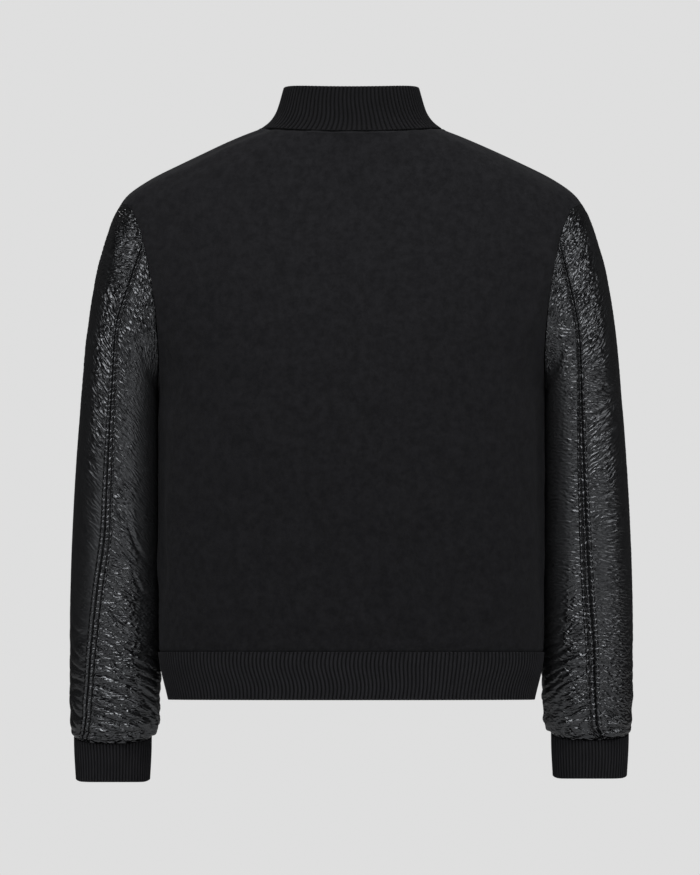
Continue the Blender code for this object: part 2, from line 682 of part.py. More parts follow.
def make_collar(walls):
    """The stand collar, ribbed, from the middle of the front round the neck and back."""
    seam = joined_row(walls, 0)
    half = len(seam) // 2
    from_middle = np.where(np.arange(len(seam)) < half, seam[:, 0], -seam[:, 0])
    kept = np.nonzero((seam[:, 1] > 0.0) | (from_middle > COLLAR_END_GAP))[0]
    first, last = kept[0], kept[-1]
    ends = []
    for inside, outside in ((first, first - 1), (last, last + 1)):
        share = (from_middle[inside] - COLLAR_END_GAP) / (from_middle[inside] - from_middle[outside])
        ends.append(seam[inside] + (seam[outside] - seam[inside]) * share)
    seam = np.concatenate((ends[:1], seam[first:last + 1], ends[1:]))
    share_of_height = collar_heights(lengths_along(seam))
    backness = np.clip(seam[:, 1] / TORSO[0].back_depth, 0.0, 1.0) ** 2
    tallest = COLLAR[-1].height + COLLAR_BACK_EXTRA * backness
    rows = []
    for row in COLLAR:
        wide = row.half_width / COLLAR[0].half_width
        deep = 1.0 - COLLAR_LEAN * (1.0 - wide)
        lift = row.height / COLLAR[-1].height * tallest * share_of_height
        height = seam[:, 2] + lift + SEAM_GAP / 2
        rows.append(np.column_stack((seam[:, 0] * wide, seam[:, 1] * deep, height)))
    rows = np.array(rows[::-1])
    normals = level_normals(rows)
    outer = ribbed(rows, normals, COLLAR_RIBS)
    wall_piece("collar_rib", outer, rows - normals * RIB_THICKNESS, KNIT_BLACK, 0.95)


def disc_rings(radius, height, domed):
    """Radius and height of each ring of a snap part, from its flat base up."""
    if domed:
        return ((radius, 0.0), (radius, height * 0.35), (radius * 0.85, height * 0.80), (0.0, height))
    return ((radius, 0.0), (radius, height), (0.0, height))


def make_disc(name, centre, axis, radius, height, domed):
    """A round snap part that stands on a point, along an axis."""
    side = unit(np.cross(axis, (0.0, 0.0, 1.0)))
    up = np.cross(side, axis)
    turns = np.arange(SNAP_SIDES) * 2 * math.pi / SNAP_SIDES
    spokes = np.cos(turns)[:, None] * side + np.sin(turns)[:, None] * up
    rings = disc_rings(radius, height, domed)
    vertices = [centre]
    for ring_radius, ring_height in rings[:-1]:
        vertices.extend(centre + axis * ring_height + spokes * ring_radius)
    vertices.append(centre + axis * rings[-1][1])
    top = len(vertices) - 1
    faces = []
    for i in range(SNAP_SIDES):
        after = (i + 1) % SNAP_SIDES
        faces.append([0, 1 + i, 1 + after])
        for ring in range(len(rings) - 2):
            low = 1 + ring * SNAP_SIDES
            faces.append([low + i, low + SNAP_SIDES + i, low + SNAP_SIDES + after, low + after])
        low = 1 + (len(rings) - 2) * SNAP_SIDES
        faces.append([low + i, top, low + after])
    add_piece(name, vertices, faces, SNAP_METAL, 0.35, 1.0)


def make_snaps():
    """Snap caps on the left front, and their posts inside the right front."""
    middle = -math.pi / 2
    fine = np.linspace(0.0, SIDE_LEVELS[-1] - HEM_DEPTH, 2000)
    heights = torso_point(middle, fine)[:, 2]
    for i in range(SNAP_COUNT):
        level = np.interp(-(SNAP_TOP - i * SNAP_PITCH), -heights, fine)
        point, normal = torso_point(middle, level), torso_normal(middle, level)
        on_hem = level < SIDE_LEVELS[-1]
        raise_cap = SEAM_GAP + (RIB_RAISE if on_hem else 0.0)
        layers = 2 * (RIB_THICKNESS if on_hem else WOOL_THICKNESS) + 2 * SEAM_GAP + \
            (RIB_RAISE if on_hem else 0.0)
        make_disc(f"snap_cap_{i + 1}", point + normal * raise_cap, normal,
                  CAP_RADIUS, CAP_HEIGHT, True)
        make_disc(f"snap_back_{i + 1}", point - normal * layers, -normal,
                  POST_RADIUS, POST_HEIGHT, False)


def main():
    """Build the jacket."""
    for piece in list(bpy.data.objects):
        bpy.data.objects.remove(piece)
    seam_normals = {}
    for side, shorter in (("left", 0.0), ("right", RIGHT_SLEEVE_SHORTER)):
        seam_normals[side], last_ring = make_sleeve(side, shorter)
        make_cuff(side, last_ring)
    walls = make_body(seam_normals)
    make_hem(walls)
    make_collar(walls)
    make_snaps()


main()
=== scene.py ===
"""The looks of a varsity jacket: napped wool body, crinkled leather sleeves and rib-knit trims.

Every cloth piece is a thin shell on its solid's form. The tables of the form are the solids' own,
and each shell adds its seams, creases, ribs or crinkle to its outer points. Metres, +Z up; the
front faces -Y and the wearer's left is +X. A grid's rows run down the garment, and its columns run
anticlockwise as seen from above, so that on the back they run towards the wearer's right.
"""
import math
from collections import namedtuple

import bpy
import numpy as np
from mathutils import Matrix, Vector


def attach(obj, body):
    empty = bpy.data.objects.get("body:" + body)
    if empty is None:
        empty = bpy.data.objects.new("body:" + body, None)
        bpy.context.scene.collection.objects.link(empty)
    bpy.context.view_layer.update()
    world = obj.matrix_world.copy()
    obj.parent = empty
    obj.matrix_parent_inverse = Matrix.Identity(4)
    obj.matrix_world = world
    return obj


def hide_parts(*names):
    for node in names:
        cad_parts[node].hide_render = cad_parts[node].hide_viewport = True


def table(kind, *rows):
    """Rows of numbers as named tuples of one kind."""
    return [kind(*row) for row in rows]


# --- Sizes that the solids share ---------------------------------------------------------------

WOOL_THICKNESS = 0.0025
LEATHER_THICKNESS = 0.0020
RIB_THICKNESS = 0.0030
RIB_RAISE = 0.0008
SEAM_GAP = 0.0003
BODY_ROUNDNESS = 2.4
FRONT_OVERLAP = 0.014
TUCK_START = 0.060
TUCK_END = 0.022
SLEEVE_ROUNDNESS = 2.2
BACK_NOTCH = 4
FRONT_NOTCH = 9
HEM_RIBS = 250
COLLAR_RIBS = 116
CUFF_RIBS = 66
HEM_DEPTH = 0.055
COLLAR_END_GAP = 0.0015
COLLAR_CORNER = 0.014
COLLAR_LEAN = 0.80
COLLAR_BACK_EXTRA = 0.004
CUFF_CORNER = 0.003
CUFF_CORNER_POWER = 14
CUFF_TILT = 0.08
RIGHT_SLEEVE_SHORTER = 0.0040
SHOULDER_LEVELS = (0.000, -0.008, -0.020, -0.038, -0.057, -0.073)
SIDE_LEVELS = (-0.345, -0.400, -0.460, -0.520, -0.568, -0.600)
MIDDLE_OF_SHOULDER_ROW = -0.112

TorsoRow = namedtuple(
    "TorsoRow", "level half_width back_depth front_depth back_lift dip_power front_drop"
)
TORSO = table(
    TorsoRow,
    (0.000, 0.1030, 0.0850, 0.0950, -0.0070, 2.20, 0.085),
    (-0.009, 0.1270, 0.0865, 0.0955, -0.0065, 2.20, 0.083),
    (-0.021, 0.1555, 0.0885, 0.0965, -0.0060, 2.20, 0.080),
    (-0.039, 0.1940, 0.0915, 0.0985, -0.0050, 2.20, 0.076),
    (-0.058, 0.2312, 0.0950, 0.1010, -0.0040, 2.20, 0.071),
    (-0.076, 0.2574, 0.0985, 0.1035, -0.0030, 2.20, 0.067),
    (-0.085, 0.2645, 0.1005, 0.1050, -0.0025, 2.20, 0.065),
    (-0.094, 0.2700, 0.1025, 0.1065, -0.0020, 2.20, 0.063),
    (-0.113, 0.2765, 0.1065, 0.1095, -0.0010, 2.20, 0.059),
    (-0.138, 0.2780, 0.1120, 0.1140, 0.0000, 2.20, 0.054),
    (-0.168, 0.2720, 0.1180, 0.1190, 0.0000, 2.20, 0.048),
    (-0.214, 0.2530, 0.1250, 0.1260, 0.0000, 2.20, 0.039),
    (-0.245, 0.2395, 0.1280, 0.1290, 0.0000, 2.20, 0.033),
    (-0.270, 0.2295, 0.1295, 0.1305, 0.0002, 2.20, 0.029),
    (-0.300, 0.2224, 0.1300, 0.1315, 0.0005, 2.20, 0.024),
    (-0.340, 0.2218, 0.1295, 0.1315, 0.0010, 2.20, 0.018),
    (-0.400, 0.2215, 0.1280, 0.1300, 0.0018, 2.00, 0.010),
    (-0.500, 0.2213, 0.1240, 0.1270, 0.0034, 1.50, 0.002),
    (-0.570, 0.2212, 0.1210, 0.1240, 0.0048, 1.00, 0.000),
    (-0.600, 0.2206, 0.1190, 0.1210, 0.0055, 0.83, 0.000),
    (-0.655, 0.2095, 0.1160, 0.1160, 0.0063, 0.83, 0.000),
)

ArmholeRow = namedtuple("ArmholeRow", "level back front")
ARMHOLE = table(
    ArmholeRow,
    (-0.0850, 0.0000, 0.0000),
    (-0.0875, 0.0280, 0.0240),
    (-0.0940, 0.0480, 0.0400),
    (-0.1130, 0.0620, 0.0560),
    (-0.1320, 0.0690, 0.0660),
    (-0.1550, 0.0740, 0.0730),
    (-0.1800, 0.0755, 0.0770),
    (-0.2050, 0.0735, 0.0780),
    (-0.2300, 0.0680, 0.0740),
    (-0.2550, 0.0580, 0.0640),
    (-0.2780, 0.0420, 0.0470),
    (-0.2930, 0.0220, 0.0250),
    (-0.3000, 0.0000, 0.0000),
)

SleeveRow = namedtuple(
    "SleeveRow",
    "outer_x outer_z inner_x inner_z half_depth centre_y back_dip left_seam right_seam front_seam",
)
SLEEVE = table(
    SleeveRow,
    (0.2748, -0.1035, 0.2228, -0.306, 0.0780, -0.005, 0.0000, 80, 86, 118),
    (0.2860, -0.1380, 0.2225, -0.318, 0.0790, -0.007, 0.0000, 78, 87, 120),
    (0.2948, -0.1720, 0.2223, -0.336, 0.0780, -0.009, 0.0000, 77, 89, 122),
    (0.3053, -0.2410, 0.2221, -0.372, 0.0760, -0.012, 0.0000, 80, 92, 125),
    (0.3115, -0.3100, 0.2219, -0.412, 0.0730, -0.014, 0.0000, 80, 93, 127),
    (0.3170, -0.3800, 0.2218, -0.455, 0.0690, -0.015, 0.0000, 80, 93, 129),
    (0.3210, -0.4480, 0.2217, -0.502, 0.0640, -0.016, 0.0000, 79, 92, 131),
    (0.3238, -0.5170, 0.2215, -0.553, 0.0590, -0.018, 0.0005, 71, 90, 133),
    (0.3250, -0.5860, 0.2210, -0.607, 0.0530, -0.022, 0.0015, 63, 86, 135),
    (0.3248, -0.6400, 0.2210, -0.648, 0.0480, -0.027, 0.0030, 57, 84, 136),
    (0.3240, -0.6800, 0.2234, -0.682, 0.0430, -0.031, 0.0045, 52, 82, 136),
    (0.3230, -0.6940, 0.2268, -0.694, 0.0385, -0.033, 0.0055, 46, 78, 136),
    (0.3200, -0.6998, 0.2323, -0.6998, 0.0330, -0.034, 0.0060, 44, 76, 136),
)

CuffFold = namedtuple("CuffFold", "place height reach")
CUFF_FOLDS = table(
    CuffFold, (12.0, 0.0008, 0.55), (11.1, 0.0012, 0.50), (10.35, 0.0010, 0.45)
)

CollarRow = namedtuple("CollarRow", "height half_width")
COLLAR = table(
    CollarRow,
    (0.0000, 0.1030), (0.0046, 0.0966), (0.0110, 0.0904), (0.0210, 0.0846), (0.0480, 0.0765),
)

CuffRow = namedtuple("CuffRow", "drop outer_x inner_x half_depth")
CUFF = table(
    CuffRow,
    (0.0000, 0.3200, 0.2323, 0.0330),
    (0.0140, 0.3197, 0.2325, 0.0325),
    (0.0525, 0.3177, 0.2343, 0.0300),
)

# --- Sizes of the looks ------------------------------------------------------------------------

WOOL_STEP = 0.0032          # the most between two rows of the wool
WOOL_COLUMNS = {"back": 164, "front_left": 84, "front_right": 84}
ROW_SAMPLES = 400           # points by which a row of the body is measured
SEAM_SAMPLES = 2400         # and the seam of the collar or the hem band
LEATHER_RINGS = 600         # rings down a sleeve
INSIDE_EVERY = 4            # the plain inside has one point for this many outside
RIB_COLUMNS = 8             # columns for each rib
RIB_HEIGHT = 0.0013
RIB_ROUNDNESS = 0.8         # below 1 for flat-topped ribs with narrow grooves between them
RIB_FADE = 0.6              # how much lower the ribs are at a folded edge
KNIT_STEP = 0.0026          # distance between rows of the rib knit
EDGE_ROLL = 0.0012          # radius of a rib-knit band's folded edge
EDGE_ROLL_ROWS = 6

# How far a band's ribs sway, in how many half waves from its top to its bottom, and how fast that
# changes along it. They don't sway at the band's ends, and ease into it.
Sway = namedtuple("Sway", "amount halves turns")
SWAYS = {"cuff": Sway(0.0008, 1, 40), "hem": Sway(0.0022, 2, 9), "collar": Sway(0.0012, 2, 14)}
SWAY_EASE = 0.03

# A sleeve's columns, from the shoulder point back and round: where each stretch starts and stops
# among the armhole's rows, its number of columns, and which of its ends is a seam.
Stretch = namedtuple("Stretch", "start stop columns seam_at_start")
UNDERARM = len(ARMHOLE) - 1
STRETCHES = table(
    Stretch,
    (0, BACK_NOTCH, 38, False),
    (BACK_NOTCH, UNDERARM, 66, True),
    (UNDERARM, 2 * UNDERARM - FRONT_NOTCH, 32, False),
    (2 * UNDERARM - FRONT_NOTCH, 2 * UNDERARM, 76, True),
)
SEAM_CROWDING = 0.6         # how much closer together the columns are at a seam

# Wool turns in at its seams, and stands up in a low ridge where the collar is sewn on.
WOOL_SEAM_DEPTH = 0.0010
WOOL_SEAM_WIDTH = 0.0035
NECK_RIDGE_AT = 0.0030
NECK_RIDGE_HEIGHT = 0.0011
NECK_RIDGE_WIDTH = 0.0014

# The sleeve's seam is a groove, with a row of topstitches beside it on the under piece. The leather
# is drawn in along both, and puffs up between the stitches.
GROOVE_DEPTH = 0.0009
GROOVE_WIDTH = 0.0008
STITCH_OFFSET = 0.0060
STITCH_PITCH = 0.0036
STITCH_LENGTH = 0.0026
STITCH_RADIUS = 0.00036
STITCH_RINGS, STITCH_SIDES = 5, 6
STITCH_TAPER = 1.7          # of its thread towards its ends, up to 2 for pointed ones
STITCH_ARCH, STITCH_SINK = 1.6, 0.9     # its middle's rise over its ends, and how deep those lie
STITCH_GROOVE_DEPTH = 0.0005
BEAD_HEIGHT = 0.0004
BEAD_AT = 0.0024            # from the seam or the stitches
BEAD_WIDTH = 0.0013
BEAD_PITCH = 0.0066
BEAD_SWELL = 0.00190        # height of the beads in the leather's own surface

# The beads and grooves across the seam: distance from it in millimetres, less than 0 on the top
# piece, and how much of a bead and of a groove is there.
SEAM_MIDDLE = 0.02          # painted values are this much more than the distance
SeamStop = namedtuple("SeamStop", "off bead groove")
SEAM_STOPS = table(
    SeamStop,
    (-6.0, 0.0, 0.0), (-3.4, 1.0, 0.0), (-0.9, 0.3, 0.0), (0.0, 0.0, 1.0),
    (0.9, 0.4, 0.0), (2.9, 1.0, 0.0), (5.3, 0.5, 0.0), (6.0, 0.2, 0.6),
    (6.7, 0.5, 0.0), (8.4, 0.9, 0.0), (10.6, 0.0, 0.0),
)
BEAD_ROUNDNESS = 0.7
BEAD_WANDER = 0.012         # how far a bead strays along the seam
BEAD_POLISH = 0.19          # how much less rough the beads are
GROOVE_CUT = 0.0005         # depth of the grooves in the leather's own surface
GROOVE_ROUGHNESS = 0.3      # how much rougher they are

# The leather's crinkle: rounded strands between sharp valleys, blended from three directions, with
# shorter ones, the last here, low on the sleeves. Length and width are those of the finer strands
# in the material.
FIELD_STEP = 0.0008         # grid of a crinkle field
FIELD_SIZE = (0.56, 0.72)   # across and down
FIELD_OFFSET = {"left": 0.0, "right": 0.31}     # each sleeve reads its own part of a field
BAND_MIDDLE = 0.5           # a field's waves are this many to a cell across them
BAND_WIDTH = 0.20           # and stray from it by this
BAND_REACH = 0.40
ROUND_BAND_WIDTH = 0.22     # the same where a field has no direction
VALLEY = 0.12               # a valley's softness, as a share of the field
STRAND_STEEPNESS, STRAND_TOP = 0.9, 1.25
Crinkle = namedtuple("Crinkle", "cell stretch angle height seed length width")
CRINKLES = table(
    Crinkle,
    (0.0056, 3.0, -36, 0.00165, 3, 0.0150, 0.0041),
    (0.0056, 3.0, -4, 0.00155, 7, 0.0150, 0.0041),
    (0.0056, 3.0, 28, 0.00165, 11, 0.0150, 0.0041),
    (0.0050, 1.7, -6, 0.00135, 17, 0.0090, 0.0037),
)
SHORT_FROM, SHORT_OVER = -0.40, 0.20    # the short ones start at this height, and reach their
SHORT_SHARE = 0.65                      # full share this much lower
BUMP_DISTANCE = 0.0066
FINE_VALLEY = 0.0006        # softness of the finer valleys in the material
CRINKLE_START = {"top": 0.003, "under": STITCH_OFFSET + 0.0006}     # distance from a seam
CRINKLE_EASE = 0.004
END_EASE = 0.006            # it also fades this far from the sleeve's ends
END_DIP, END_DIP_WIDTH = 0.0003, 0.002

# Broad soft folds low on the sleeves, over the cuffs.
Fold = namedtuple("Fold", "cell stretch angle height seed")
FOLDS = {"left": Fold(0.0125, 1.9, -28, 0.0023, 29), "right": Fold(0.0125, 1.9, 24, 0.0021, 31)}
FOLDS_FROM, FOLDS_OVER = -0.50, 0.12    # they start at this height, and are full this much lower
FOLDS_ON_TOP = 0.35                     # share of their height on the top piece
FOLDS_EASE = 0.010                      # distance from a seam at which they are full

# Which way the strands lie at each height, in degrees up from level towards the wearer's right, on
# the under piece and on the top piece, and how much of its full depth the crinkle has on each.
Lean = namedtuple("Lean", "height under top under_share top_share")
LEANS = {
    "left": table(
        Lean,
        (-0.70, -6, -4, 0.90, 0.12), (-0.66, -16, -10, 0.90, 0.10),
        (-0.60, -28, -18, 0.90, 0.10), (-0.54, -36, -28, 0.80, 0.10),
        (-0.48, -36, -30, 0.60, 0.10), (-0.42, -36, -34, 0.44, 0.14),
        (-0.36, -34, -36, 0.35, 0.40), (-0.30, -36, -38, 0.35, 0.80),
        (-0.24, -38, -38, 0.50, 1.00), (-0.20, -38, -34, 0.90, 1.05),
        (-0.16, -36, -6, 1.10, 1.15), (-0.10, -34, -2, 1.10, 1.10),
    ),
    "right": table(
        Lean,
        (-0.70, 4, -6, 0.90, 0.80), (-0.66, 22, -30, 0.85, 0.80),
        (-0.60, 28, -32, 0.85, 0.75), (-0.54, 22, -10, 0.68, 0.60),
        (-0.48, 2, 2, 0.40, 0.46), (-0.42, 0, 8, 0.32, 0.58),
        (-0.36, 0, 24, 0.30, 0.52), (-0.30, 0, 2, 0.30, 0.54),
        (-0.24, 6, 26, 0.38, 0.80), (-0.20, 26, 30, 0.70, 1.00),
        (-0.15, 28, 30, 1.10, 1.00), (-0.10, 26, 28, 1.10, 0.90),
    ),
}
LEAN_WANDER = 5.0           # degrees by which the strands stray from that
LEAN_BLEND = 10.0           # degrees over which one direction gives way to the next
FINE_SHARE = {"top": 0.05, "under": 0.12}       # the finer strands' own share everywhere

# The crinkle is lower in calm patches, on the outer side of the top piece, and on the inner side of
# the under piece, low on the sleeve, where the leather is duller too. A turn says how far the
# leather faces sideways where such a side starts.
PATCH_CELL, PATCH_SEED = 0.030, 23
PATCH_SHIFT = 0.2           # the patches that calm the strands aren't those that turn them
PATCH_CONTRAST = 0.45
PATCH_SHARE = 0.45          # how much lower the crinkle is in a calm patch than between them
LIVELIEST = 1.15            # how high it is between them
OUTER_TURN, OUTER_TURN_OVER = 0.68, 0.2
EDGE_CALM_SHARE = 0.25
INNER_TURN, INNER_TURN_OVER = 0.30, 0.45
INNER_CALM_FROM, INNER_CALM_OVER = -0.24, 0.06
INNER_CALM_SHARE = 0.35
INNER_ROUGHNESS = 0.22
SHINE_FROM, SHINE_OVER = -0.54, 0.10    # from this height down the leather is glossier, and fully
LOW_SHINE = 0.50                        # so this much lower, by this share of INNER_ROUGHNESS

# The main creases, as seen from behind: both ends and the bow between them in pixels
# of the photograph, and the trough's depth and half width in metres. A ridge runs along each side
# of the trough. The front of each sleeve has the other's, mirrored.
PIXEL = 0.00115
MIDDLE_PX, NECK_PY = 351.5, 130.0       # the pixel at the origin
CREASE_DEPTH = 1.6                      # all their depths, times this
CREASE_BLUNTNESS = 0.7                  # below 1, a crease keeps its depth towards its ends
CREASE_FACING = 0.3                     # it fades where the leather faces backward by less
CREASE_START, CREASE_EASE = 0.004, 0.004        # distance from a seam
CREASE_RIDGES = ((1.8, 0.55), (-1.8, 0.35))     # place in half widths, and share of the depth
CREASE_RIDGE_WIDTH = 1.1
Crease = namedtuple("Crease", "start_px start_py end_px end_py bow depth width")
CREASES = {
    "left": table(
        Crease,
        (122, 234, 139, 248, 1, 0.0008, 0.0018), (107, 250, 130, 263, 2, 0.0010, 0.0022),
        (110, 270, 122, 286, 1, 0.0008, 0.0018), (103, 284, 114, 308, 1, 0.0009, 0.0020),
        (90, 326, 98, 350, -1, 0.0008, 0.0020), (96, 340, 110, 356, 1, 0.0008, 0.0017),
        (90, 368, 106, 388, 1, 0.0009, 0.0020), (93, 396, 106, 410, 1, 0.0007, 0.0016),
        (94, 420, 105, 442, -1, 0.0008, 0.0019), (118, 344, 136, 372, 2, 0.0006, 0.0020),
        (116, 452, 136, 470, 1, 0.0007, 0.0018), (112, 492, 130, 500, -2, 0.0008, 0.0018),
        (116, 508, 128, 524, 1, 0.0008, 0.0018), (130, 520, 151, 566, 3, 0.0011, 0.0024),
        (120, 540, 141, 566, 2, 0.0008, 0.0020), (102, 564, 116, 582, 1, 0.0007, 0.0018),
        (134, 566, 153, 602, 3, 0.0009, 0.0022), (116, 584, 140, 604, 2, 0.0008, 0.0020),
        (109, 606, 130, 629, 3, 0.0012, 0.0024), (130, 629, 151, 634, -2, 0.0009, 0.0020),
        (120, 640, 151, 657, 2, 0.0010, 0.0022), (100, 648, 116, 664, 1, 0.0007, 0.0018),
        (112, 660, 142, 691, 3, 0.0012, 0.0025), (132, 658, 155, 672, 1, 0.0009, 0.0020),
        (134, 676, 157, 702, 2, 0.0012, 0.0026), (97, 688, 120, 707, 2, 0.0009, 0.0022),
        (120, 700, 152, 714, 4, 0.0012, 0.0026), (100, 716, 130, 722, 3, 0.0011, 0.0026),
        (128, 722, 157, 708, 3, 0.0014, 0.0030), (116, 733, 154, 725, 3, 0.0014, 0.0030),
    ),
    "right": table(
        Crease,
        (582, 293, 599, 276, -1, 0.0009, 0.0020), (584, 306, 600, 296, 1, 0.0008, 0.0018),
        (586, 262, 597, 254, 1, 0.0007, 0.0018), (562, 314, 574, 306, 1, 0.0007, 0.0018),
        (586, 336, 604, 330, 1, 0.0006, 0.0018), (588, 366, 606, 356, -1, 0.0007, 0.0018),
        (584, 396, 616, 384, 2, 0.0009, 0.0022), (584, 419, 619, 399, 2, 0.0012, 0.0026),
        (586, 438, 616, 424, 2, 0.0010, 0.0024), (590, 456, 612, 450, 1, 0.0007, 0.0019),
        (596, 498, 620, 490, -2, 0.0008, 0.0020), (600, 520, 620, 514, 1, 0.0007, 0.0018),
        (554, 604, 582, 590, 1, 0.0007, 0.0019), (552, 622, 588, 602, 2, 0.0010, 0.0024),
        (554, 642, 589, 622, 2, 0.0009, 0.0022), (551, 662, 590, 643, 2, 0.0011, 0.0025),
        (555, 682, 592, 662, 3, 0.0010, 0.0024), (552, 702, 592, 684, 3, 0.0012, 0.0026),
        (556, 716, 590, 702, 2, 0.0010, 0.0024), (553, 728, 586, 722, 2, 0.0013, 0.0030),
        (600, 634, 612, 648, 1, 0.0008, 0.0018), (600, 658, 615, 676, 1, 0.0010, 0.0020),
        (602, 684, 620, 700, 2, 0.0010, 0.0022), (603, 708, 622, 716, 2, 0.0010, 0.0024),
        (604, 726, 626, 728, 2, 0.0012, 0.0028),
    ),
}

# Soft folds of the wool body: each one's place round it, in degrees from its left side towards the
# back, the heights between which it runs, its lean in degrees for each metre down, its depth, and
# its half width in degrees.
Drape = namedtuple("Drape", "angle top bottom lean depth reach")
DRAPES = table(
    Drape,
    (17, -0.30, -0.56, -10, 0.0022, 5.0), (30, -0.16, -0.36, -25, 0.0026, 6.0),
    (163, -0.30, -0.55, 12, 0.0020, 5.0), (150, -0.16, -0.34, 25, 0.0024, 6.0),
    (52, -0.44, -0.60, 18, 0.0012, 4.0), (128, -0.46, -0.60, -15, 0.0012, 4.0),
    (74, -0.50, -0.60, -6, 0.0008, 3.0), (101, -0.48, -0.60, 8, 0.0008, 3.0),
    (-18, -0.30, -0.55, 10, 0.0022, 5.0), (-34, -0.18, -0.38, 22, 0.0026, 6.0),
    (-163, -0.30, -0.56, -12, 0.0022, 5.0), (-147, -0.18, -0.36, -22, 0.0026, 6.0),
    (-56, -0.42, -0.60, -14, 0.0014, 4.0), (-124, -0.43, -0.60, 14, 0.0014, 4.0),
)
DRAPE_TOP_EASE, DRAPE_BOTTOM_EASE = 0.07, 0.05
DRAPE_RIDGES = ((1.7, 0.5), (-1.8, 0.4))        # place in half widths, and share of the depth
PUCKER_HEIGHT = 0.0005      # the wool puckers over the hem band's seam
PUCKER_DEPTH = 0.016
PUCKERS = 64
PUCKER_START, PUCKER_EASE = 0.0015, 0.003       # distance from the seam
NAP_WAVE = 0.0005           # how uneven the wool lies
DEGREE = 0.003              # metres of a field to a degree round the body
BODY_EASE = 0.02            # distance from a seam at which folds and waves are full

# The stage: soft lights that all face one point, and a camera level with the jacket's middle.
SURROUND_GREY = 0.737
SURROUND_LIGHT = 0.04       # the surround lights the jacket with this share of its own brightness
FLOOR_GREY, FLOOR_HALF, FLOOR_LEVEL = 0.70, 3.0, -1.25
Light = namedtuple("Light", "name place size watts")
LIGHTS = table(
    Light,
    ("key", (0.0, 1.15, 0.85), (2.0, 0.6), 27.0),
    ("left_side", (2.2, 1.0, 0.9), (1.0, 1.4), 11.0),
    ("right_side", (-2.5, 0.9, 0.9), (1.4, 1.4), 16.0),
    ("low_left", (1.9, 1.7, -0.40), (0.9, 0.9), 3.2),
    ("low_right", (-1.9, 1.7, -0.40), (0.9, 0.9), 3.2),
    ("low_fill", (0.0, 1.7, -1.15), (1.6, 0.3), 4.0),
    ("front_key", (0.5, -2.8, 2.4), (1.6, 1.2), 30.0),
)
LIGHTS_FACE = (0.0, 0.0, -0.30)
CAMERA_DISTANCE = 5.0
CAMERA_X, CAMERA_Z = 0.0016, -0.3536
SENSOR_WIDTH = 36.0
PHOTO_HEIGHT = 875          # pixels
FAR = 60.0                  # how far the camera sees

# Sheets: the flat cut of each piece, and its area where it isn't a rectangle.
Cut = namedtuple("Cut", "width length area rests_on")
CUTS = {
    "back": Cut(0.580, 0.630, 0.315, ("front_left_cloth", "front_right_cloth")),
    "front_left": Cut(0.310, 0.600, 0.150, ("back_cloth",)),
    "front_right": Cut(0.310, 0.600, 0.150, ("back_cloth",)),
    "sleeve_top": Cut(0.270, 0.620, 0.128, ("back_cloth",)),
    "sleeve_under": Cut(0.200, 0.480, 0.070, ("back_cloth",)),
    "collar_rib": Cut(0.520, 0.055, None, ("back_cloth",)),
    "hem_rib": Cut(1.090, 0.055, None, ("back_cloth",)),
    "cuff": Cut(0.235, 0.050, None, ()),
}


# --- Small tools -------------------------------------------------------------------------------

def unit(vectors):
    """Scale vectors to length 1."""
    return vectors / np.linalg.norm(vectors, axis=-1, keepdims=True)


def power(values, exponent):
    """Raise values to a power and keep their sign."""
    return np.sign(values) * np.abs(values) ** exponent


def smooth_step(values):
    """Ease from 0 to 1."""
    values = np.clip(values, 0.0, 1.0)
    return values * values * (3.0 - 2.0 * values)


def monotone(keys, values, at):
    """A smooth curve through values at rising keys, which never overshoots them."""
    keys, values = np.asarray(keys, float), np.asarray(values, float)
    steps = np.diff(keys)
    slopes = np.diff(values) / steps
    tangents = np.concatenate((slopes[:1], np.zeros(len(keys) - 2), slopes[-1:]))
    for i in range(1, len(keys) - 1):
        if slopes[i - 1] * slopes[i] > 0.0:
            before, after = steps[i - 1] + 2.0 * steps[i], 2.0 * steps[i - 1] + steps[i]
            tangents[i] = (before + after) / (before / slopes[i] + after / slopes[i - 1])
    at = np.clip(at, keys[0], keys[-1])
    i = np.clip(np.searchsorted(keys, at) - 1, 0, len(steps) - 1)
    t = (at - keys[i]) / steps[i]
    return (
        values[i] * (2 * t**3 - 3 * t**2 + 1)
        + values[i + 1] * (3 * t**2 - 2 * t**3)
        + steps[i] * (tangents[i] * (t**3 - 2 * t**2 + t) + tangents[i + 1] * (t**3 - t**2))
    )


def read_column(rows, column, at):
    """Read one column of a table on a smooth curve through its rows."""
    keys = np.array([row[0] for row in rows])
    values = np.array([getattr(row, column) for row in rows])
    order = np.argsort(keys)
    return monotone(keys[order], values[order], at)


def curve_through(points, places):
    """Read a smooth curve through points (along the first axis) at fractional places."""
    last = len(points) - 1
    padded = np.concatenate(([2 * points[0] - points[1]], points, [2 * points[-1] - points[-2]]))
    result = []
    for place in places:
        i = min(int(place), last - 1)
        t = place - i
        p0, p1, p2, p3 = padded[i:i + 4]
        result.append(
            0.5 * (2 * p1 + (p2 - p0) * t + (2 * p0 - 5 * p1 + 4 * p2 - p3) * t**2
                   + (3 * p1 - p0 - 3 * p2 + p3) * t**3)
        )
    return np.array(result)


def lengths_along(points):
    """Distance from the first point of a polyline to each of its points."""
    steps = np.linalg.norm(np.diff(points, axis=0), axis=1)
    return np.concatenate(([0.0], np.cumsum(steps)))


def at_lengths(at, lengths, points):
    """Points of a polyline at lengths along it, given the length at each of its own points."""
    return np.stack([np.interp(at, lengths, points[:, i]) for i in range(3)], axis=-1)


def across_lengths(grid):
    """Distance along each row of a grid from its first column."""
    steps = np.linalg.norm(np.diff(grid, axis=1), axis=2)
    return np.concatenate((np.zeros((len(grid), 1)), np.cumsum(steps, axis=1)), axis=1)


def down_lengths(grid):
    """Distance down each column of a grid from its first row."""
    return across_lengths(grid.swapaxes(0, 1)).T


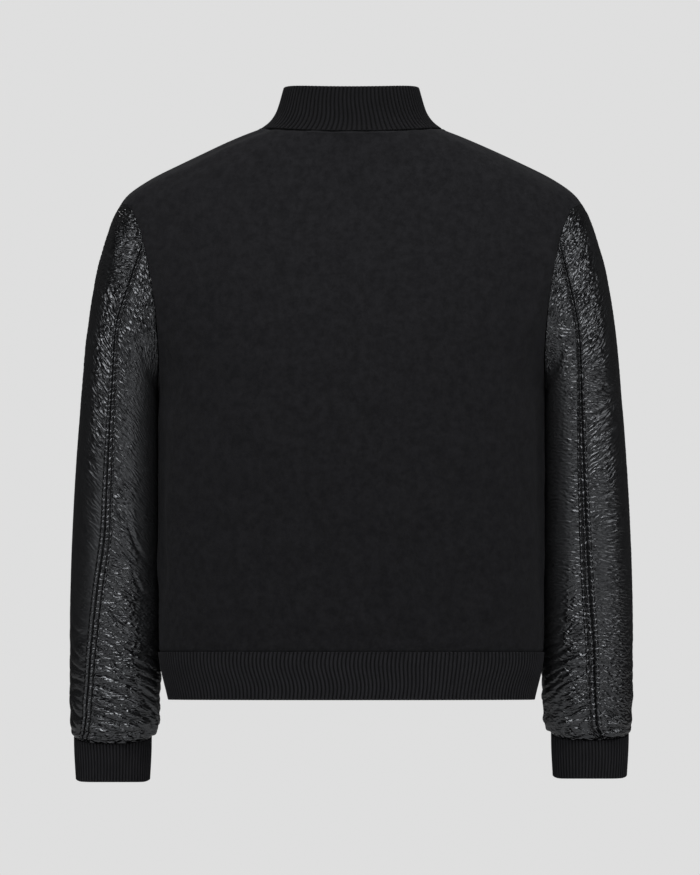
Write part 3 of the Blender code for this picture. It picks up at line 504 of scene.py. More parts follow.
def grid_normals(grid, closed=False):
    """Outward normals of a grid."""
    down = np.gradient(grid, axis=0)
    if closed:
        across = np.roll(grid, -1, axis=1) - np.roll(grid, 1, axis=1)
    else:
        across = np.gradient(grid, axis=1)
    return unit(np.cross(down, across))


def mirrored(grid):
    """Mirror a grid of the left side to the right, and keep its columns anticlockwise."""
    return (grid * np.array((-1.0, 1.0, 1.0)))[:, ::-1]


# --- The solids' surfaces ----------------------------------------------------------------------

def torso_point(angle, level):
    """Outer surface of the body: angle 0 is its left side, and 90 degrees the back's middle."""
    angle, level = np.broadcast_arrays(np.asarray(angle, float), np.asarray(level, float))
    sine, cosine = np.sin(angle), np.cos(angle)
    at_back = sine > 0.0
    depth = np.where(
        at_back, read_column(TORSO, "back_depth", level), read_column(TORSO, "front_depth", level)
    )
    shift = np.where(
        at_back, read_column(TORSO, "back_lift", level), -read_column(TORSO, "front_drop", level)
    )
    x = read_column(TORSO, "half_width", level) * power(cosine, 2 / BODY_ROUNDNESS)
    y = depth * power(sine, 2 / BODY_ROUNDNESS)
    z = level + shift * np.abs(sine) ** read_column(TORSO, "dip_power", level)
    return np.stack((x, y, z), axis=-1)


def torso_normal(angle, level):
    """Outward normal of the body at the same places."""
    turn, drop = 0.002, 0.0005
    across = torso_point(angle + turn, level) - torso_point(angle - turn, level)
    highest = np.minimum(level + drop, 0.0)
    down = torso_point(angle, level - drop) - torso_point(angle, highest)
    return unit(np.cross(down, across))


def armhole_angle(level, side):
    """Angle of the body at which a row meets the armhole, or 0 above and below the armhole."""
    if not ARMHOLE[-1].level < level < ARMHOLE[0].level:
        return 0.0
    depth = read_column(TORSO, side + "_depth", level)
    reach = read_column(ARMHOLE, side, level)
    return math.asin((reach / depth) ** (BODY_ROUNDNESS / 2))


def overlap_angle(level):
    """Angle past the middle of the front at which a front's edge lies."""
    half_width = read_column(TORSO, "half_width", level)
    return math.asin((FRONT_OVERLAP / half_width) ** (BODY_ROUNDNESS / 2))


def panel_rows():
    """Heights of the rows of a body panel, at its outer edge and in its middle."""
    edges = np.array(SHOULDER_LEVELS + tuple(row.level for row in ARMHOLE) + SIDE_LEVELS)
    reaches = np.zeros(len(edges))
    shoulder = len(SHOULDER_LEVELS)
    underarm = shoulder + len(ARMHOLE) - 1
    reaches[shoulder:underarm + 1] = [max(row.back, row.front) for row in ARMHOLE]
    middles = edges.copy()
    middles[:underarm + 1] = np.interp(
        range(underarm + 1), (0, shoulder, underarm), (0.0, MIDDLE_OF_SHOULDER_ROW, edges[underarm])
    )
    places = [0.0]
    for i in range(len(edges) - 1):
        longest = max(
            abs(middles[i + 1] - middles[i]),
            math.hypot(edges[i + 1] - edges[i], reaches[i + 1] - reaches[i]),
        )
        count = math.ceil(longest / WOOL_STEP)
        places.extend(i + (k + 1) / count for k in range(count))
    index = np.arange(len(edges))
    return list(zip(monotone(index, edges, places), np.interp(places, index, middles)))


def row_places(edge, middle, start, stop, columns, from_edge):
    """Angles and levels that divide one row into equal lengths."""
    shares = np.linspace(0.0, 1.0, ROW_SAMPLES)
    angles = start + (stop - start) * shares
    levels = edge + (middle - edge) * smooth_step(from_edge(shares))
    lengths = lengths_along(torso_point(angles, levels))
    even = np.linspace(0.0, lengths[-1], columns + 1)
    return np.interp(even, lengths, angles), np.interp(even, lengths, levels)


def torso_grid(edges, columns, from_edge):
    """Points, normals and angles of a panel of the body whose rows run between two edges."""
    start_of, stop_of = edges
    places = np.array([
        row_places(edge, middle, start_of(edge), stop_of(edge), columns, from_edge)
        for edge, middle in panel_rows()
    ])
    angles, levels = places[:, 0], places[:, 1]
    return torso_point(angles, levels), torso_normal(angles, levels), np.degrees(angles)


def back_edges():
    """The back's left and right edges, as angles for a level."""
    return (lambda z: armhole_angle(z, "back")), (lambda z: math.pi - armhole_angle(z, "back"))


def front_left_edges():
    """The left front's edges: past the middle of the front, and the left side."""
    return (lambda z: -math.pi / 2 - overlap_angle(z)), (lambda z: -armhole_angle(z, "front"))


def front_right_edges():
    """The right front's edges: the right side, and past the middle of the front."""
    return (
        (lambda z: -math.pi + armhole_angle(z, "front")),
        (lambda z: -math.pi / 2 + overlap_angle(z)),
    )


def tucked(grid, thickness):
    """Move a right front inward near its free edge, so that it lies under the left one."""
    under = smooth_step((grid[..., 0] + TUCK_START) / (TUCK_START - TUCK_END))
    result = grid.copy()
    result[..., 1] += under * (thickness + SEAM_GAP)
    return result


def armhole_levels(places):
    """Levels at fractional rows of the armhole's table."""
    return monotone(np.arange(len(ARMHOLE)), [row.level for row in ARMHOLE], places)


def crowded(shares):
    """Shares of a stretch, closer together near its start."""
    return (1.0 - SEAM_CROWDING) * shares + SEAM_CROWDING * shares**2


def armhole_ring():
    """The left armhole's points, back from the shoulder point and round to it again."""
    places = []
    for stretch in STRETCHES:
        shares = np.arange(stretch.columns) / stretch.columns
        shares = crowded(shares) if stretch.seam_at_start else 1.0 - crowded(1.0 - shares)
        places.append(stretch.start + (stretch.stop - stretch.start) * shares)
    places = np.concatenate(places)
    at_back = places <= UNDERARM
    levels = armhole_levels(np.where(at_back, places, 2 * UNDERARM - places))
    vertices = np.array([
        (armhole_angle(level, "back") if back else -armhole_angle(level, "front"), level)
        for back, level in zip(at_back, levels)
    ])
    return vertices, torso_point(vertices[:, 0], vertices[:, 1])


def seam_columns():
    """The columns of the back seam, the underarm and the front seam, and the number of columns."""
    return np.cumsum([stretch.columns for stretch in STRETCHES])


def sleeve_bearings(vertices, ring):
    """The angle of each of the armhole's vertices, as if it were a section of the sleeve."""
    half_depth = max(max(row.back, row.front) for row in ARMHOLE)
    half_height = (ARMHOLE[0].level - ARMHOLE[-1].level) / 2
    rise = np.clip((vertices[:, 1] - ARMHOLE[-1].level) / half_height - 1.0, -1.0, 1.0)
    bearings = np.arctan2(
        power(ring[:, 1] / half_depth, SLEEVE_ROUNDNESS / 2), power(rise, SLEEVE_ROUNDNESS / 2)
    )
    bearings[seam_columns()[1]] = math.pi
    return bearings


def section_point(row, angles):
    """Points round one section of the left sleeve, at angles from its outer edge to the back."""
    outer = np.array((row.outer_x, row.centre_y, row.outer_z))
    inner = np.array((row.inner_x, row.centre_y, row.inner_z))
    to_outer = (outer - inner) / 2
    to_back = np.array((0.0, row.half_depth, -row.back_dip))
    cosine = power(np.cos(angles), 2 / SLEEVE_ROUNDNESS)[:, None]
    sine = power(np.sin(angles), 2 / SLEEVE_ROUNDNESS)[:, None]
    return (outer + inner) / 2 + to_outer * cosine + to_back * sine


def section_angles(row, side, bearings):
    """Angles of the sleeve's columns on a section, turned from the armhole's to suit its seams."""
    back_seam, front_seam = math.radians(getattr(row, side + "_seam")), math.radians(row.front_seam)
    back_at, _, front_at, _ = seam_columns()
    at_armhole = (-math.pi, bearings[front_at], 0.0, bearings[back_at], math.pi)
    return np.interp(bearings, at_armhole, (-math.pi, -front_seam, 0.0, back_seam, math.pi))


def sleeve_rings(side, shorter):
    """Outer rings of a sleeve, still on the left, its columns in the armhole's order."""
    vertices, ring = armhole_ring()
    bearings = sleeve_bearings(vertices, ring)
    sections = []
    for row in SLEEVE:
        share = (SLEEVE[0].outer_z - row.outer_z) / (SLEEVE[0].outer_z - SLEEVE[-1].outer_z)
        section = section_point(row, section_angles(row, side, bearings))
        section[:, 2] += shorter * share
        sections.append(section)
    key_rings = np.array([ring] + sections)
    outer_edge = lengths_along(key_rings[:, 0])
    back_edge = lengths_along(key_rings[:, seam_columns()[0]])
    lengths = (outer_edge + back_edge) / 2
    places = np.interp(
        np.linspace(0.0, lengths[-1], LEATHER_RINGS + 1), lengths, np.arange(len(key_rings))
    )
    rings = curve_through(key_rings, places)
    swell = np.zeros(len(places))
    for fold in CUFF_FOLDS:
        swell += fold.height * smooth_step(1.0 - np.abs(places - fold.place) / fold.reach)
    return rings + grid_normals(rings, closed=True) * swell[:, None, None]


# --- Fields ------------------------------------------------------------------------------------

# One field for each crinkle, one of soft folds for each side, and one of patches.
Noises = namedtuple("Noises", "fields folds patches")


def noise_field(cell, stretch, angle, seed):
    """Noise on a grid across and down, whose ridges are about a cell apart. They lie along an
    angle, and are longer than a cell by stretch. At a stretch of 1 they have no direction."""
    count = [int(size / FIELD_STEP) for size in FIELD_SIZE]
    across = np.fft.fftfreq(count[0], FIELD_STEP)[:, None]
    up = np.fft.fftfreq(count[1], FIELD_STEP)[None, :]
    turn = math.radians(angle)
    along = (across * math.cos(turn) + up * math.sin(turn)) * cell * stretch
    over = (-across * math.sin(turn) + up * math.cos(turn)) * cell
    if stretch > 1.0:
        off = (np.abs(over) - BAND_MIDDLE) / BAND_WIDTH
        band = np.exp(-off**2 - (along / BAND_REACH) ** 2)
    else:
        off = (np.hypot(along, over) - BAND_MIDDLE) / ROUND_BAND_WIDTH
        band = np.exp(-off**2)
    white = np.random.default_rng(seed).standard_normal(count)
    field = np.fft.ifft2(np.fft.fft2(white) * band).real
    return field / field.std()


def read_field(field, across, up):
    """Read a field at places in metres; it repeats past its edges."""
    a = across / FIELD_STEP
    b = up / FIELD_STEP
    i, j = np.floor(a).astype(int), np.floor(b).astype(int)
    s, t = a - i, b - j
    rows, columns = field.shape
    i0, i1, j0, j1 = i % rows, (i + 1) % rows, j % columns, (j + 1) % columns
    return (
        field[i0, j0] * (1 - s) * (1 - t) + field[i1, j0] * s * (1 - t)
        + field[i0, j1] * (1 - s) * t + field[i1, j1] * s * t
    )


def strands(field):
    """Rounded strands between sharp valleys, from 0 in a valley to about 1, 0.5 on average."""
    return STRAND_TOP * np.tanh(STRAND_STEEPNESS * (np.sqrt(field**2 + VALLEY**2) - VALLEY))


# --- Shells ------------------------------------------------------------------------------------

def grid_faces(rows, columns, first, closed, flipped):
    """Quads of a grid whose vertices start at an index."""
    across = np.arange(columns if closed else columns - 1)
    r, c = np.meshgrid(np.arange(rows - 1), across, indexing="ij")
    here, below, after = r * columns, (r + 1) * columns, (c + 1) % columns
    quads = np.stack((here + c, below + c, below + after, here + after), axis=-1)
    quads = quads.reshape(-1, 4) + first
    return (quads[:, ::-1] if flipped else quads).tolist()


def strip_faces(first_line, second_line, flipped):
    """Triangles between two lines of vertices that start and end side by side."""
    faces = []
    i = j = 0
    last_i, last_j = len(first_line) - 1, len(second_line) - 1
    while i < last_i or j < last_j:
        step_first = j == last_j or (i < last_i and (i + 1) * last_j <= (j + 1) * last_i)
        if step_first:
            face = [first_line[i], first_line[i + 1], second_line[j]]
            i += 1
        else:
            face = [first_line[i], second_line[j + 1], second_line[j]]
            j += 1
        faces.append(face[::-1] if flipped else face)
    return faces


def make_object(name, vertices, faces, material, smooth_angle):
    """A named object from points and faces, riding on the jacket."""
    mesh = bpy.data.meshes.new(name)
    mesh.from_pydata(vertices.tolist(), [], faces)
    mesh.materials.append(material)
    mesh.shade_smooth()
    mesh.set_sharp_from_angle(angle=math.radians(smooth_angle))
    piece = bpy.data.objects.new(name, mesh)
    bpy.context.collection.objects.link(piece)
    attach(piece, "root")
    return piece


def shell(name, outer, inner, material, smooth_angle=50, closed=False):
    """A wall between an outer and an inner grid, which may be coarser."""
    rows, outer_columns = outer.shape[:2]
    inner_rows, inner_columns = inner.shape[:2]
    start = rows * outer_columns
    vertices = np.concatenate((outer.reshape(-1, 3), inner.reshape(-1, 3)))
    faces = grid_faces(rows, outer_columns, 0, closed, False)
    faces += grid_faces(inner_rows, inner_columns, start, closed, True)

    def line(first, row, columns):
        """The vertices of one row, and the first again where the shell is closed."""
        ids = [first + row * columns + c for c in range(columns)]
        return ids + ids[:1] if closed else ids

    faces += strip_faces(line(0, 0, outer_columns), line(start, 0, inner_columns), False)
    faces += strip_faces(line(0, rows - 1, outer_columns),
                         line(start, inner_rows - 1, inner_columns), True)
    if not closed:
        left = [r * outer_columns for r in range(rows)]
        right = [r * outer_columns + outer_columns - 1 for r in range(rows)]
        inner_left = [start + r * inner_columns for r in range(inner_rows)]
        inner_right = [start + r * inner_columns + inner_columns - 1 for r in range(inner_rows)]
        faces += strip_faces(left, inner_left, True)
        faces += strip_faces(right, inner_right, False)
    return make_object(name, vertices, faces, material, smooth_angle)


def paint(piece, name, values):
    """Give a piece's outer points a value each, or four, and its inner ones 0."""
    mesh = piece.data
    values = values.reshape(-1, values.shape[2]) if values.ndim == 3 else values.reshape(-1, 1)
    kind, width = ("FLOAT_COLOR", 4) if values.shape[1] == 4 else ("FLOAT", 1)
    padded = np.zeros((len(mesh.vertices), width), np.float32)
    padded[:len(values)] = values
    attribute = mesh.attributes.new(name, kind, "POINT")
    attribute.data.foreach_set("color" if width == 4 else "value", padded.ravel())


def lay_out(piece, across, up):
    """Give a piece's outer points a place in metres across and up, as a UV map."""
    mesh = piece.data
    places = np.zeros((len(mesh.vertices), 2), np.float32)
    places[:across.size] = np.column_stack((across.ravel(), up.ravel()))
    corners = np.empty(len(mesh.loops), np.int32)
    mesh.loops.foreach_get("vertex_index", corners)
    mesh.uv_layers.new(name="place").data.foreach_set("uv", places[corners].ravel())


def every(grid, step, closed=False):
    """A coarser copy of a grid, which keeps its first and last rows and columns."""
    rows = np.unique(np.append(np.arange(0, grid.shape[0], step), grid.shape[0] - 1))
    columns = np.arange(0, grid.shape[1], step)
    if not closed:
        columns = np.unique(np.append(columns, grid.shape[1] - 1))
    return grid[rows][:, columns]


def from_border(grid, sides):
    """Distance of each point of a grid from the nearest of the named sides."""
    across, down = across_lengths(grid), down_lengths(grid)
    distances = {
        "first_column": across,
        "last_column": across[:, -1:] - across,
        "top": down,
        "bottom": down[-1:] - down,
    }
    return np.min([distances[side] for side in sides], axis=0)


def seam_dip(distance, depth, width):
    """How far cloth turns in at a distance from its seam: a quarter round."""
    share = np.clip(1.0 - distance / width, 0.0, 1.0)
    return -depth * (1.0 - np.sqrt(np.clip(1.0 - share**2, 0.0, 1.0)))


# --- Pieces ------------------------------------------------------------------------------------

def declare(piece, nodes, cut):
    """Hide the solids that a cloth piece stands for. The pieces that its cut rests on are worked
    out but not used.
    """
    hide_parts(*nodes)
    rests_on = [name for name in cut.rests_on if name != piece.name]


def furrow(off, ridges, ridge_width):
    """Height across a trough 1 deep with ridges beside it, at places given in its half widths."""
    raised = sum(share * np.exp(-((off - at) / ridge_width) ** 2) for at, share in ridges)
    return raised - np.exp(-off**2)


def drape_height(angles, heights):
    """Height of the body's soft folds at angles round it, in degrees, and heights."""
    result = np.zeros(angles.shape)
    for drape in DRAPES:
        middle = drape.angle + drape.lean * (drape.top - heights)
        along = smooth_step((drape.top - heights) / DRAPE_TOP_EASE)
        along *= smooth_step((heights - drape.bottom) / DRAPE_BOTTOM_EASE)
        turn = (np.mod(angles - middle + 180.0, 360.0) - 180.0) / drape.reach
        result += drape.depth * along * furrow(turn, DRAPE_RIDGES, 1.0)
    return result


def pucker_height(angles, below):
    """Height of the puckers that the hem band's seam draws in the wool over it. Their waves are of
    unlike lengths, so that no two puckers match."""
    turn = np.radians(angles) * PUCKERS
    wave = np.sin(turn + 1.3 * np.sin(0.21 * turn)) + 0.5 * np.sin(0.53 * turn + 1.0)
    return PUCKER_HEIGHT * wave * np.exp(-below / PUCKER_DEPTH)


def make_body(material, nap):
    """The back and the two fronts."""
    panels = (
        ("back", back_edges(), lambda share: 1.0 - np.abs(2.0 * share - 1.0),
         ("first_column", "last_column", "bottom")),
        ("front_left", front_left_edges(), lambda share: 1.0 - share, ("last_column", "bottom")),
        ("front_right", front_right_edges(), lambda share: share, ("first_column", "bottom")),
    )
    for name, edges, from_edge, seams in panels:
        grid, normals, angles = torso_grid(edges, WOOL_COLUMNS[name], from_edge)
        if name == "front_right":
            grid = tucked(grid, WOOL_THICKNESS)
        up = grid[..., 2]
        border = from_border(grid, seams)
        neck, below = from_border(grid, ("top",)), from_border(grid, ("bottom",))
        height = drape_height(angles, up) + NAP_WAVE * read_field(nap, angles * DEGREE, up)
        height *= smooth_step(border / BODY_EASE)
        height += pucker_height(angles, below) * smooth_step((below - PUCKER_START) / PUCKER_EASE)
        height += seam_dip(border, WOOL_SEAM_DEPTH, WOOL_SEAM_WIDTH)
        height += seam_dip(neck, WOOL_SEAM_DEPTH, NECK_RIDGE_AT)
        height += NECK_RIDGE_HEIGHT * np.exp(-((neck - NECK_RIDGE_AT) / NECK_RIDGE_WIDTH) ** 2)
        outer = grid + normals * height[..., None]
        inner = every(grid - normals * WOOL_THICKNESS, INSIDE_EVERY)
        piece = shell(name + "_cloth", outer, inner, material)
        declare(piece, [name], CUTS[name])


def lean_weights(side, part, up, wander):
    """How much of each crinkle direction shows at places on a sleeve."""
    angles = read_column(LEANS[side], part, up) + LEAN_WANDER * wander
    offs = np.stack([(angles - crinkle.angle) / LEAN_BLEND for crinkle in CRINKLES[:-1]])
    weights = np.exp(-offs**2)
    short = SHORT_SHARE * smooth_step((SHORT_FROM - up) / SHORT_OVER)[None]
    return np.concatenate((weights / weights.sum(axis=0) * (1.0 - short), short))


def crease_height(side, grid, directions):
    """Height of the listed creases, as seen from behind and mirrored from the front."""
    other = {"left": "right", "right": "left"}[side]
    result = np.zeros(grid.shape[:2])
    down = NECK_PY - grid[..., 2] / PIXEL
    for creases, mirror in ((CREASES[side], 1.0), (CREASES[other], -1.0)):
        right = MIDDLE_PX - mirror * grid[..., 0] / PIXEL
        shown = smooth_step(mirror * directions[..., 1] / CREASE_FACING)
        for crease in creases:
            run_x, run_y = crease.end_px - crease.start_px, crease.end_py - crease.start_py
            length = math.hypot(run_x, run_y)
            run_x, run_y = run_x / length, run_y / length
            from_x, from_y = right - crease.start_px, down - crease.start_py
            share = (from_x * run_x + from_y * run_y) / length
            bowed = crease.bow * 4.0 * share * (1.0 - share)
            off = (from_x * run_y - from_y * run_x + bowed) * PIXEL / crease.width
            taper = np.sin(np.clip(share, 0.0, 1.0) * math.pi) ** CREASE_BLUNTNESS * shown
            profile = furrow(off, CREASE_RIDGES, CREASE_RIDGE_WIDTH)
            result += CREASE_DEPTH * crease.depth * taper * profile
    return result


def seam_height(distance, stitched):
    """Height of the grooves at a sleeve seam, and of the leather that puffs up beside them."""
    def groove(off, depth):
        """One groove between two puffed rows."""
        puffed = BEAD_HEIGHT * np.exp(-((np.abs(off) - BEAD_AT) / BEAD_WIDTH) ** 2)
        return puffed - depth * np.exp(-(off / GROOVE_WIDTH) ** 2)

    height = groove(distance, GROOVE_DEPTH)
    if stitched:
        puffed = np.maximum(height, 0.0) * (distance < STITCH_OFFSET / 2)
        height = puffed + np.minimum(height, 0.0)
        height += groove(distance - STITCH_OFFSET, STITCH_GROOVE_DEPTH)
    return height


def leather_calm(side, part, up, directions):
    """How much of its full depth the crinkle has at places on a sleeve, and where it is duller."""
    calm = read_column(LEANS[side], part + "_share", up)
    sideways = np.abs(directions[..., 0])
    if part == "top":
        outward = smooth_step((sideways - OUTER_TURN) / OUTER_TURN_OVER)
        return calm * (1.0 - (1.0 - EDGE_CALM_SHARE) * outward), np.zeros(up.shape)
    inward = smooth_step((sideways - INNER_TURN) / INNER_TURN_OVER)
    inward *= smooth_step((INNER_CALM_FROM - up) / INNER_CALM_OVER)
    return calm * (1.0 - (1.0 - INNER_CALM_SHARE) * inward), inward


def liveliness(patches, across, up):
    """How high the crinkle is at places: less in the calm patches than between them."""
    lively = smooth_step(0.5 + PATCH_CONTRAST * read_field(patches, across + PATCH_SHIFT, up))
    return LIVELIEST - PATCH_SHARE + PATCH_SHARE * lively


def crinkle_height(fields, weights, place):
    """Height of the leather's strands at places, each direction by its weight."""
    return sum(
        weight * (strands(read_field(field, *place)) - 0.5) * crinkle.height
        for weight, field, crinkle in zip(weights, fields, CRINKLES)
    )


def fold_height(side, part, field, place, up, distance):
    """Height of the broad soft folds low on a sleeve."""
    low = smooth_step((FOLDS_FROM - up) / FOLDS_OVER) * smooth_step(distance / FOLDS_EASE)
    if part == "top":
        low *= FOLDS_ON_TOP
    return (strands(read_field(field, *place)) - 0.5) * FOLDS[side].height * low


def seam_distances(grid, back_seam_first):
    """Distance of a sleeve piece's points from its back seam, less than 0 where that seam is its
    last column, and distance from its front seam."""
    across = across_lengths(grid)
    if back_seam_first:
        return across, across[:, -1:] - across
    return across - across[:, -1:], across


def make_sleeve_piece(side, part, grid, directions, material, noises):
    """One leather piece of a sleeve. Gives its outer points, and their distance from each seam."""
    from_back, from_front = seam_distances(grid, (part == "under") == (side == "left"))
    distance = np.minimum(np.abs(from_back), from_front)
    down = down_lengths(grid)
    up = grid[..., 2]
    place = from_back, up + FIELD_OFFSET[side]
    away = smooth_step((distance - CRINKLE_START[part]) / CRINKLE_EASE)
    weights = lean_weights(side, part, up, read_field(noises.patches, *place))
    calm, inward = leather_calm(side, part, up, directions)
    lively = calm * away * liveliness(noises.patches, *place)
    height = crinkle_height(noises.fields, weights, place) * lively
    height += fold_height(side, part, noises.folds[side], place, up, distance)
    height += seam_height(distance, part == "under")
    height *= smooth_step(np.minimum(down, down[-1:] - down) / END_EASE)
    beyond_seam = smooth_step((distance - CREASE_START) / CREASE_EASE)
    height += crease_height(side, grid, directions) * beyond_seam
    height += seam_dip(down, END_DIP, END_DIP_WIDTH)
    outer = grid + directions * height[..., None]
    inner = every(grid - directions * LEATHER_THICKNESS, INSIDE_EVERY)
    node = f"sleeve_{part}_{side}"
    piece = shell(node + "_leather", outer, inner, material, 70)
    lay_out(piece, *place)
    finer = lively + away * FINE_SHARE[part]
    paint(piece, "lean", (weights * finer).transpose(1, 2, 0))
    paint(piece, "seam", SEAM_MIDDLE + np.where(part == "under", distance, -distance))
    shine = LOW_SHINE * smooth_step((SHINE_FROM - up) / SHINE_OVER)
    paint(piece, "dull", inward - shine)
    declare(piece, [node], CUTS["sleeve_" + part])
    return outer, (np.abs(from_back), from_front)


def make_sleeve(side, shorter, material, thread, noises):
    """One sleeve, as a top and an under piece, and the stitches beside its seams."""
    rings = sleeve_rings(side, shorter)
    count = rings.shape[1]
    back_seam, _, front_seam, _ = seam_columns()
    top = [i % count for i in range(front_seam, count + back_seam + 1)]
    under = list(range(back_seam, front_seam + 1))
    normals = grid_normals(rings, closed=True)
    for part, columns in (("top", top), ("under", under)):
        grid, directions = rings[:, columns], normals[:, columns]
        if side == "right":
            grid, directions = mirrored(grid), mirrored(directions)
        outer, distances = make_sleeve_piece(side, part, grid, directions, material, noises)
        if part == "under":
            lines = [line_beside(outer, directions, distance) for distance in distances]
    make_stitches(f"sleeve_stitches_{side}", lines, thread)
    return rings[-1]


def line_beside(grid, directions, distance):
    """Points and normals of the line at the stitches' distance from a seam, on every row."""
    line = []
    for row, normals, from_seam in zip(grid, directions, distance):
        order = np.argsort(from_seam)
        line.append([
            at_lengths(STITCH_OFFSET, from_seam[order], values[order]) for values in (row, normals)
        ])
    line = np.array(line)
    return line[:, 0], unit(line[:, 1])


def make_stitches(name, lines, material):
    """Rows of stitches: short rounded threads that dip into the leather at both ends."""
    shares = np.linspace(-0.5, 0.5, STITCH_RINGS)
    swell = np.sqrt(1.0 - (STITCH_TAPER * shares) ** 2)
    turns = np.arange(STITCH_SIDES) * 2.0 * math.pi / STITCH_SIDES
    vertices, faces = [], []
    for points, normals in lines:
        lengths = lengths_along(points)
        for middle in np.arange(STITCH_PITCH * 2, lengths[-1] - STITCH_PITCH, STITCH_PITCH):
            spine = at_lengths(middle + shares * STITCH_LENGTH, lengths, points)
            up = unit(at_lengths(middle, lengths, normals))
            beside = np.cross(unit(spine[-1] - spine[0]), up)
            rise = STITCH_RADIUS * (STITCH_ARCH * swell - STITCH_SINK)
            spine = spine + up * rise[:, None]
            ring = np.cos(turns)[:, None] * up + np.sin(turns)[:, None] * beside
            first = len(vertices) * STITCH_RINGS * STITCH_SIDES
            last = first + (STITCH_RINGS - 1) * STITCH_SIDES
            vertices.append(spine[:, None] + ring[None] * (STITCH_RADIUS * swell)[:, None, None])
            faces += grid_faces(STITCH_RINGS, STITCH_SIDES, first, True, True)
            faces.append([first + c for c in range(STITCH_SIDES)][::-1])
            faces.append([last + c for c in range(STITCH_SIDES)])
    piece = make_object(name, np.array(vertices).reshape(-1, 3), faces, material, 80)


def rolled_rows(depth, roll_top):
    """Distances of a band's rows from its top, closer together at its rolled edge."""
    near = EDGE_ROLL * (1.0 - np.cos(np.linspace(0.0, math.pi / 2, EDGE_ROLL_ROWS)))
    middle = np.arange(EDGE_ROLL, depth - EDGE_ROLL, KNIT_STEP)
    ends = (near, (depth,)) if roll_top else ((0.0,), depth - near)
    return np.unique(np.round(np.concatenate((middle, *ends)), 7))


def roll_of(distance):
    """How far the outer face turns in at a distance from a folded edge."""
    within = np.clip(EDGE_ROLL - distance, 0.0, EDGE_ROLL)
    return EDGE_ROLL - np.sqrt(EDGE_ROLL**2 - within**2)


def rib_shape(places, pitch):
    """Height of the ribs at places along a band."""
    return RIB_HEIGHT * np.abs(np.sin(math.pi * places / pitch)) ** RIB_ROUNDNESS


def ribbed_band(name, point_at, depth, length, ribs, sway, roll_top, material, closed=False):
    """A rib-knit band, rolled at its top or its bottom edge. point_at gives the base surface for
    places along it and a distance from its top."""
    along = np.linspace(0.0, length, ribs * RIB_COLUMNS + 1)
    if closed:
        along = along[:-1]
    window = 1.0 if closed else smooth_step(np.minimum(along, length - along) / SWAY_EASE)
    depths = rolled_rows(depth, roll_top)
    rows = []
    for down in depths:
        swing = sway.amount * math.sin(down / depth * sway.halves * math.pi)
        rows.append(point_at(along + swing * np.sin(along * sway.turns) * window, down))
    base = np.array(rows)
    normals = grid_normals(base, closed)
    ribs_up = rib_shape(along, length / ribs)[None, :]
    turned = roll_of(depths if roll_top else depth - depths)[:, None]
    fade = 1.0 - RIB_FADE * turned / EDGE_ROLL
    outer = base + normals * (ribs_up * fade - turned)[..., None]
    inner = every(base - normals * (RIB_THICKNESS - turned)[..., None], INSIDE_EVERY, closed)
    piece = shell(name, outer, inner, material, 60, closed)
    lay_out(piece, *np.broadcast_arrays(along[None, :], -depths[:, None]))
    # The ribs' height, which the knit's colour uses for painted shade in the grooves
    paint(piece, "rib", np.broadcast_to(ribs_up / RIB_HEIGHT, outer.shape[:2]))
    return piece


def make_cuff(side, seam_ring, material):
    """A ribbed cuff on the sleeve's last ring."""
    side_level = seam_ring[0, 2]
    if side == "right":
        seam_ring = mirrored(seam_ring[None])[0]
    last, first = SLEEVE[-1], CUFF[0]
    sign = 1.0 if side == "left" else -1.0
    centre = np.array((sign * (last.outer_x + last.inner_x) / 2, last.centre_y))
    looped = np.concatenate((seam_ring, seam_ring[:1]))
    around = lengths_along(looped)

    def point_at(along, depth):
        """The cuff's base surface: the sleeve's end, which a flat one takes the place of below."""
        ring = at_lengths(np.mod(along, around[-1]), around, looped)
        outer_x = read_column(CUFF, "outer_x", depth)
        inner_x = read_column(CUFF, "inner_x", depth)
        wide = (outer_x - inner_x) / (first.outer_x - first.inner_x)
        deep = read_column(CUFF, "half_depth", depth) / first.half_depth
        middle_x = sign * (outer_x + inner_x) / 2
        offset = ring[:, :2] - centre
        toward_side = np.abs(offset[:, 0]) / ((first.outer_x - first.inner_x) / 2)
        down = depth / CUFF[-1].drop
        flat = side_level + CUFF_TILT * offset[:, 1] * deep
        rise = CUFF_CORNER * down**2 * np.clip(toward_side, 0, 1) ** CUFF_CORNER_POWER
        return np.column_stack((
            middle_x + offset[:, 0] * wide, centre[1] + offset[:, 1] * deep,
            ring[:, 2] * (1 - down) + flat * down - depth - SEAM_GAP + rise,
        ))

    piece = ribbed_band(f"cuff_{side}_knit", point_at, CUFF[-1].drop, around[-1], CUFF_RIBS,
                        SWAYS["cuff"], False, material, closed=True)
    declare(piece, ["cuff_" + side], CUTS["cuff"])


def seam_line(level):
    """The body's points at a level, from the left front's free edge round to the right front's."""
    over = overlap_angle(level)
    angles = np.linspace(-math.pi / 2 - over, 3 * math.pi / 2 + over, SEAM_SAMPLES)
    return torso_point(angles, level), angles


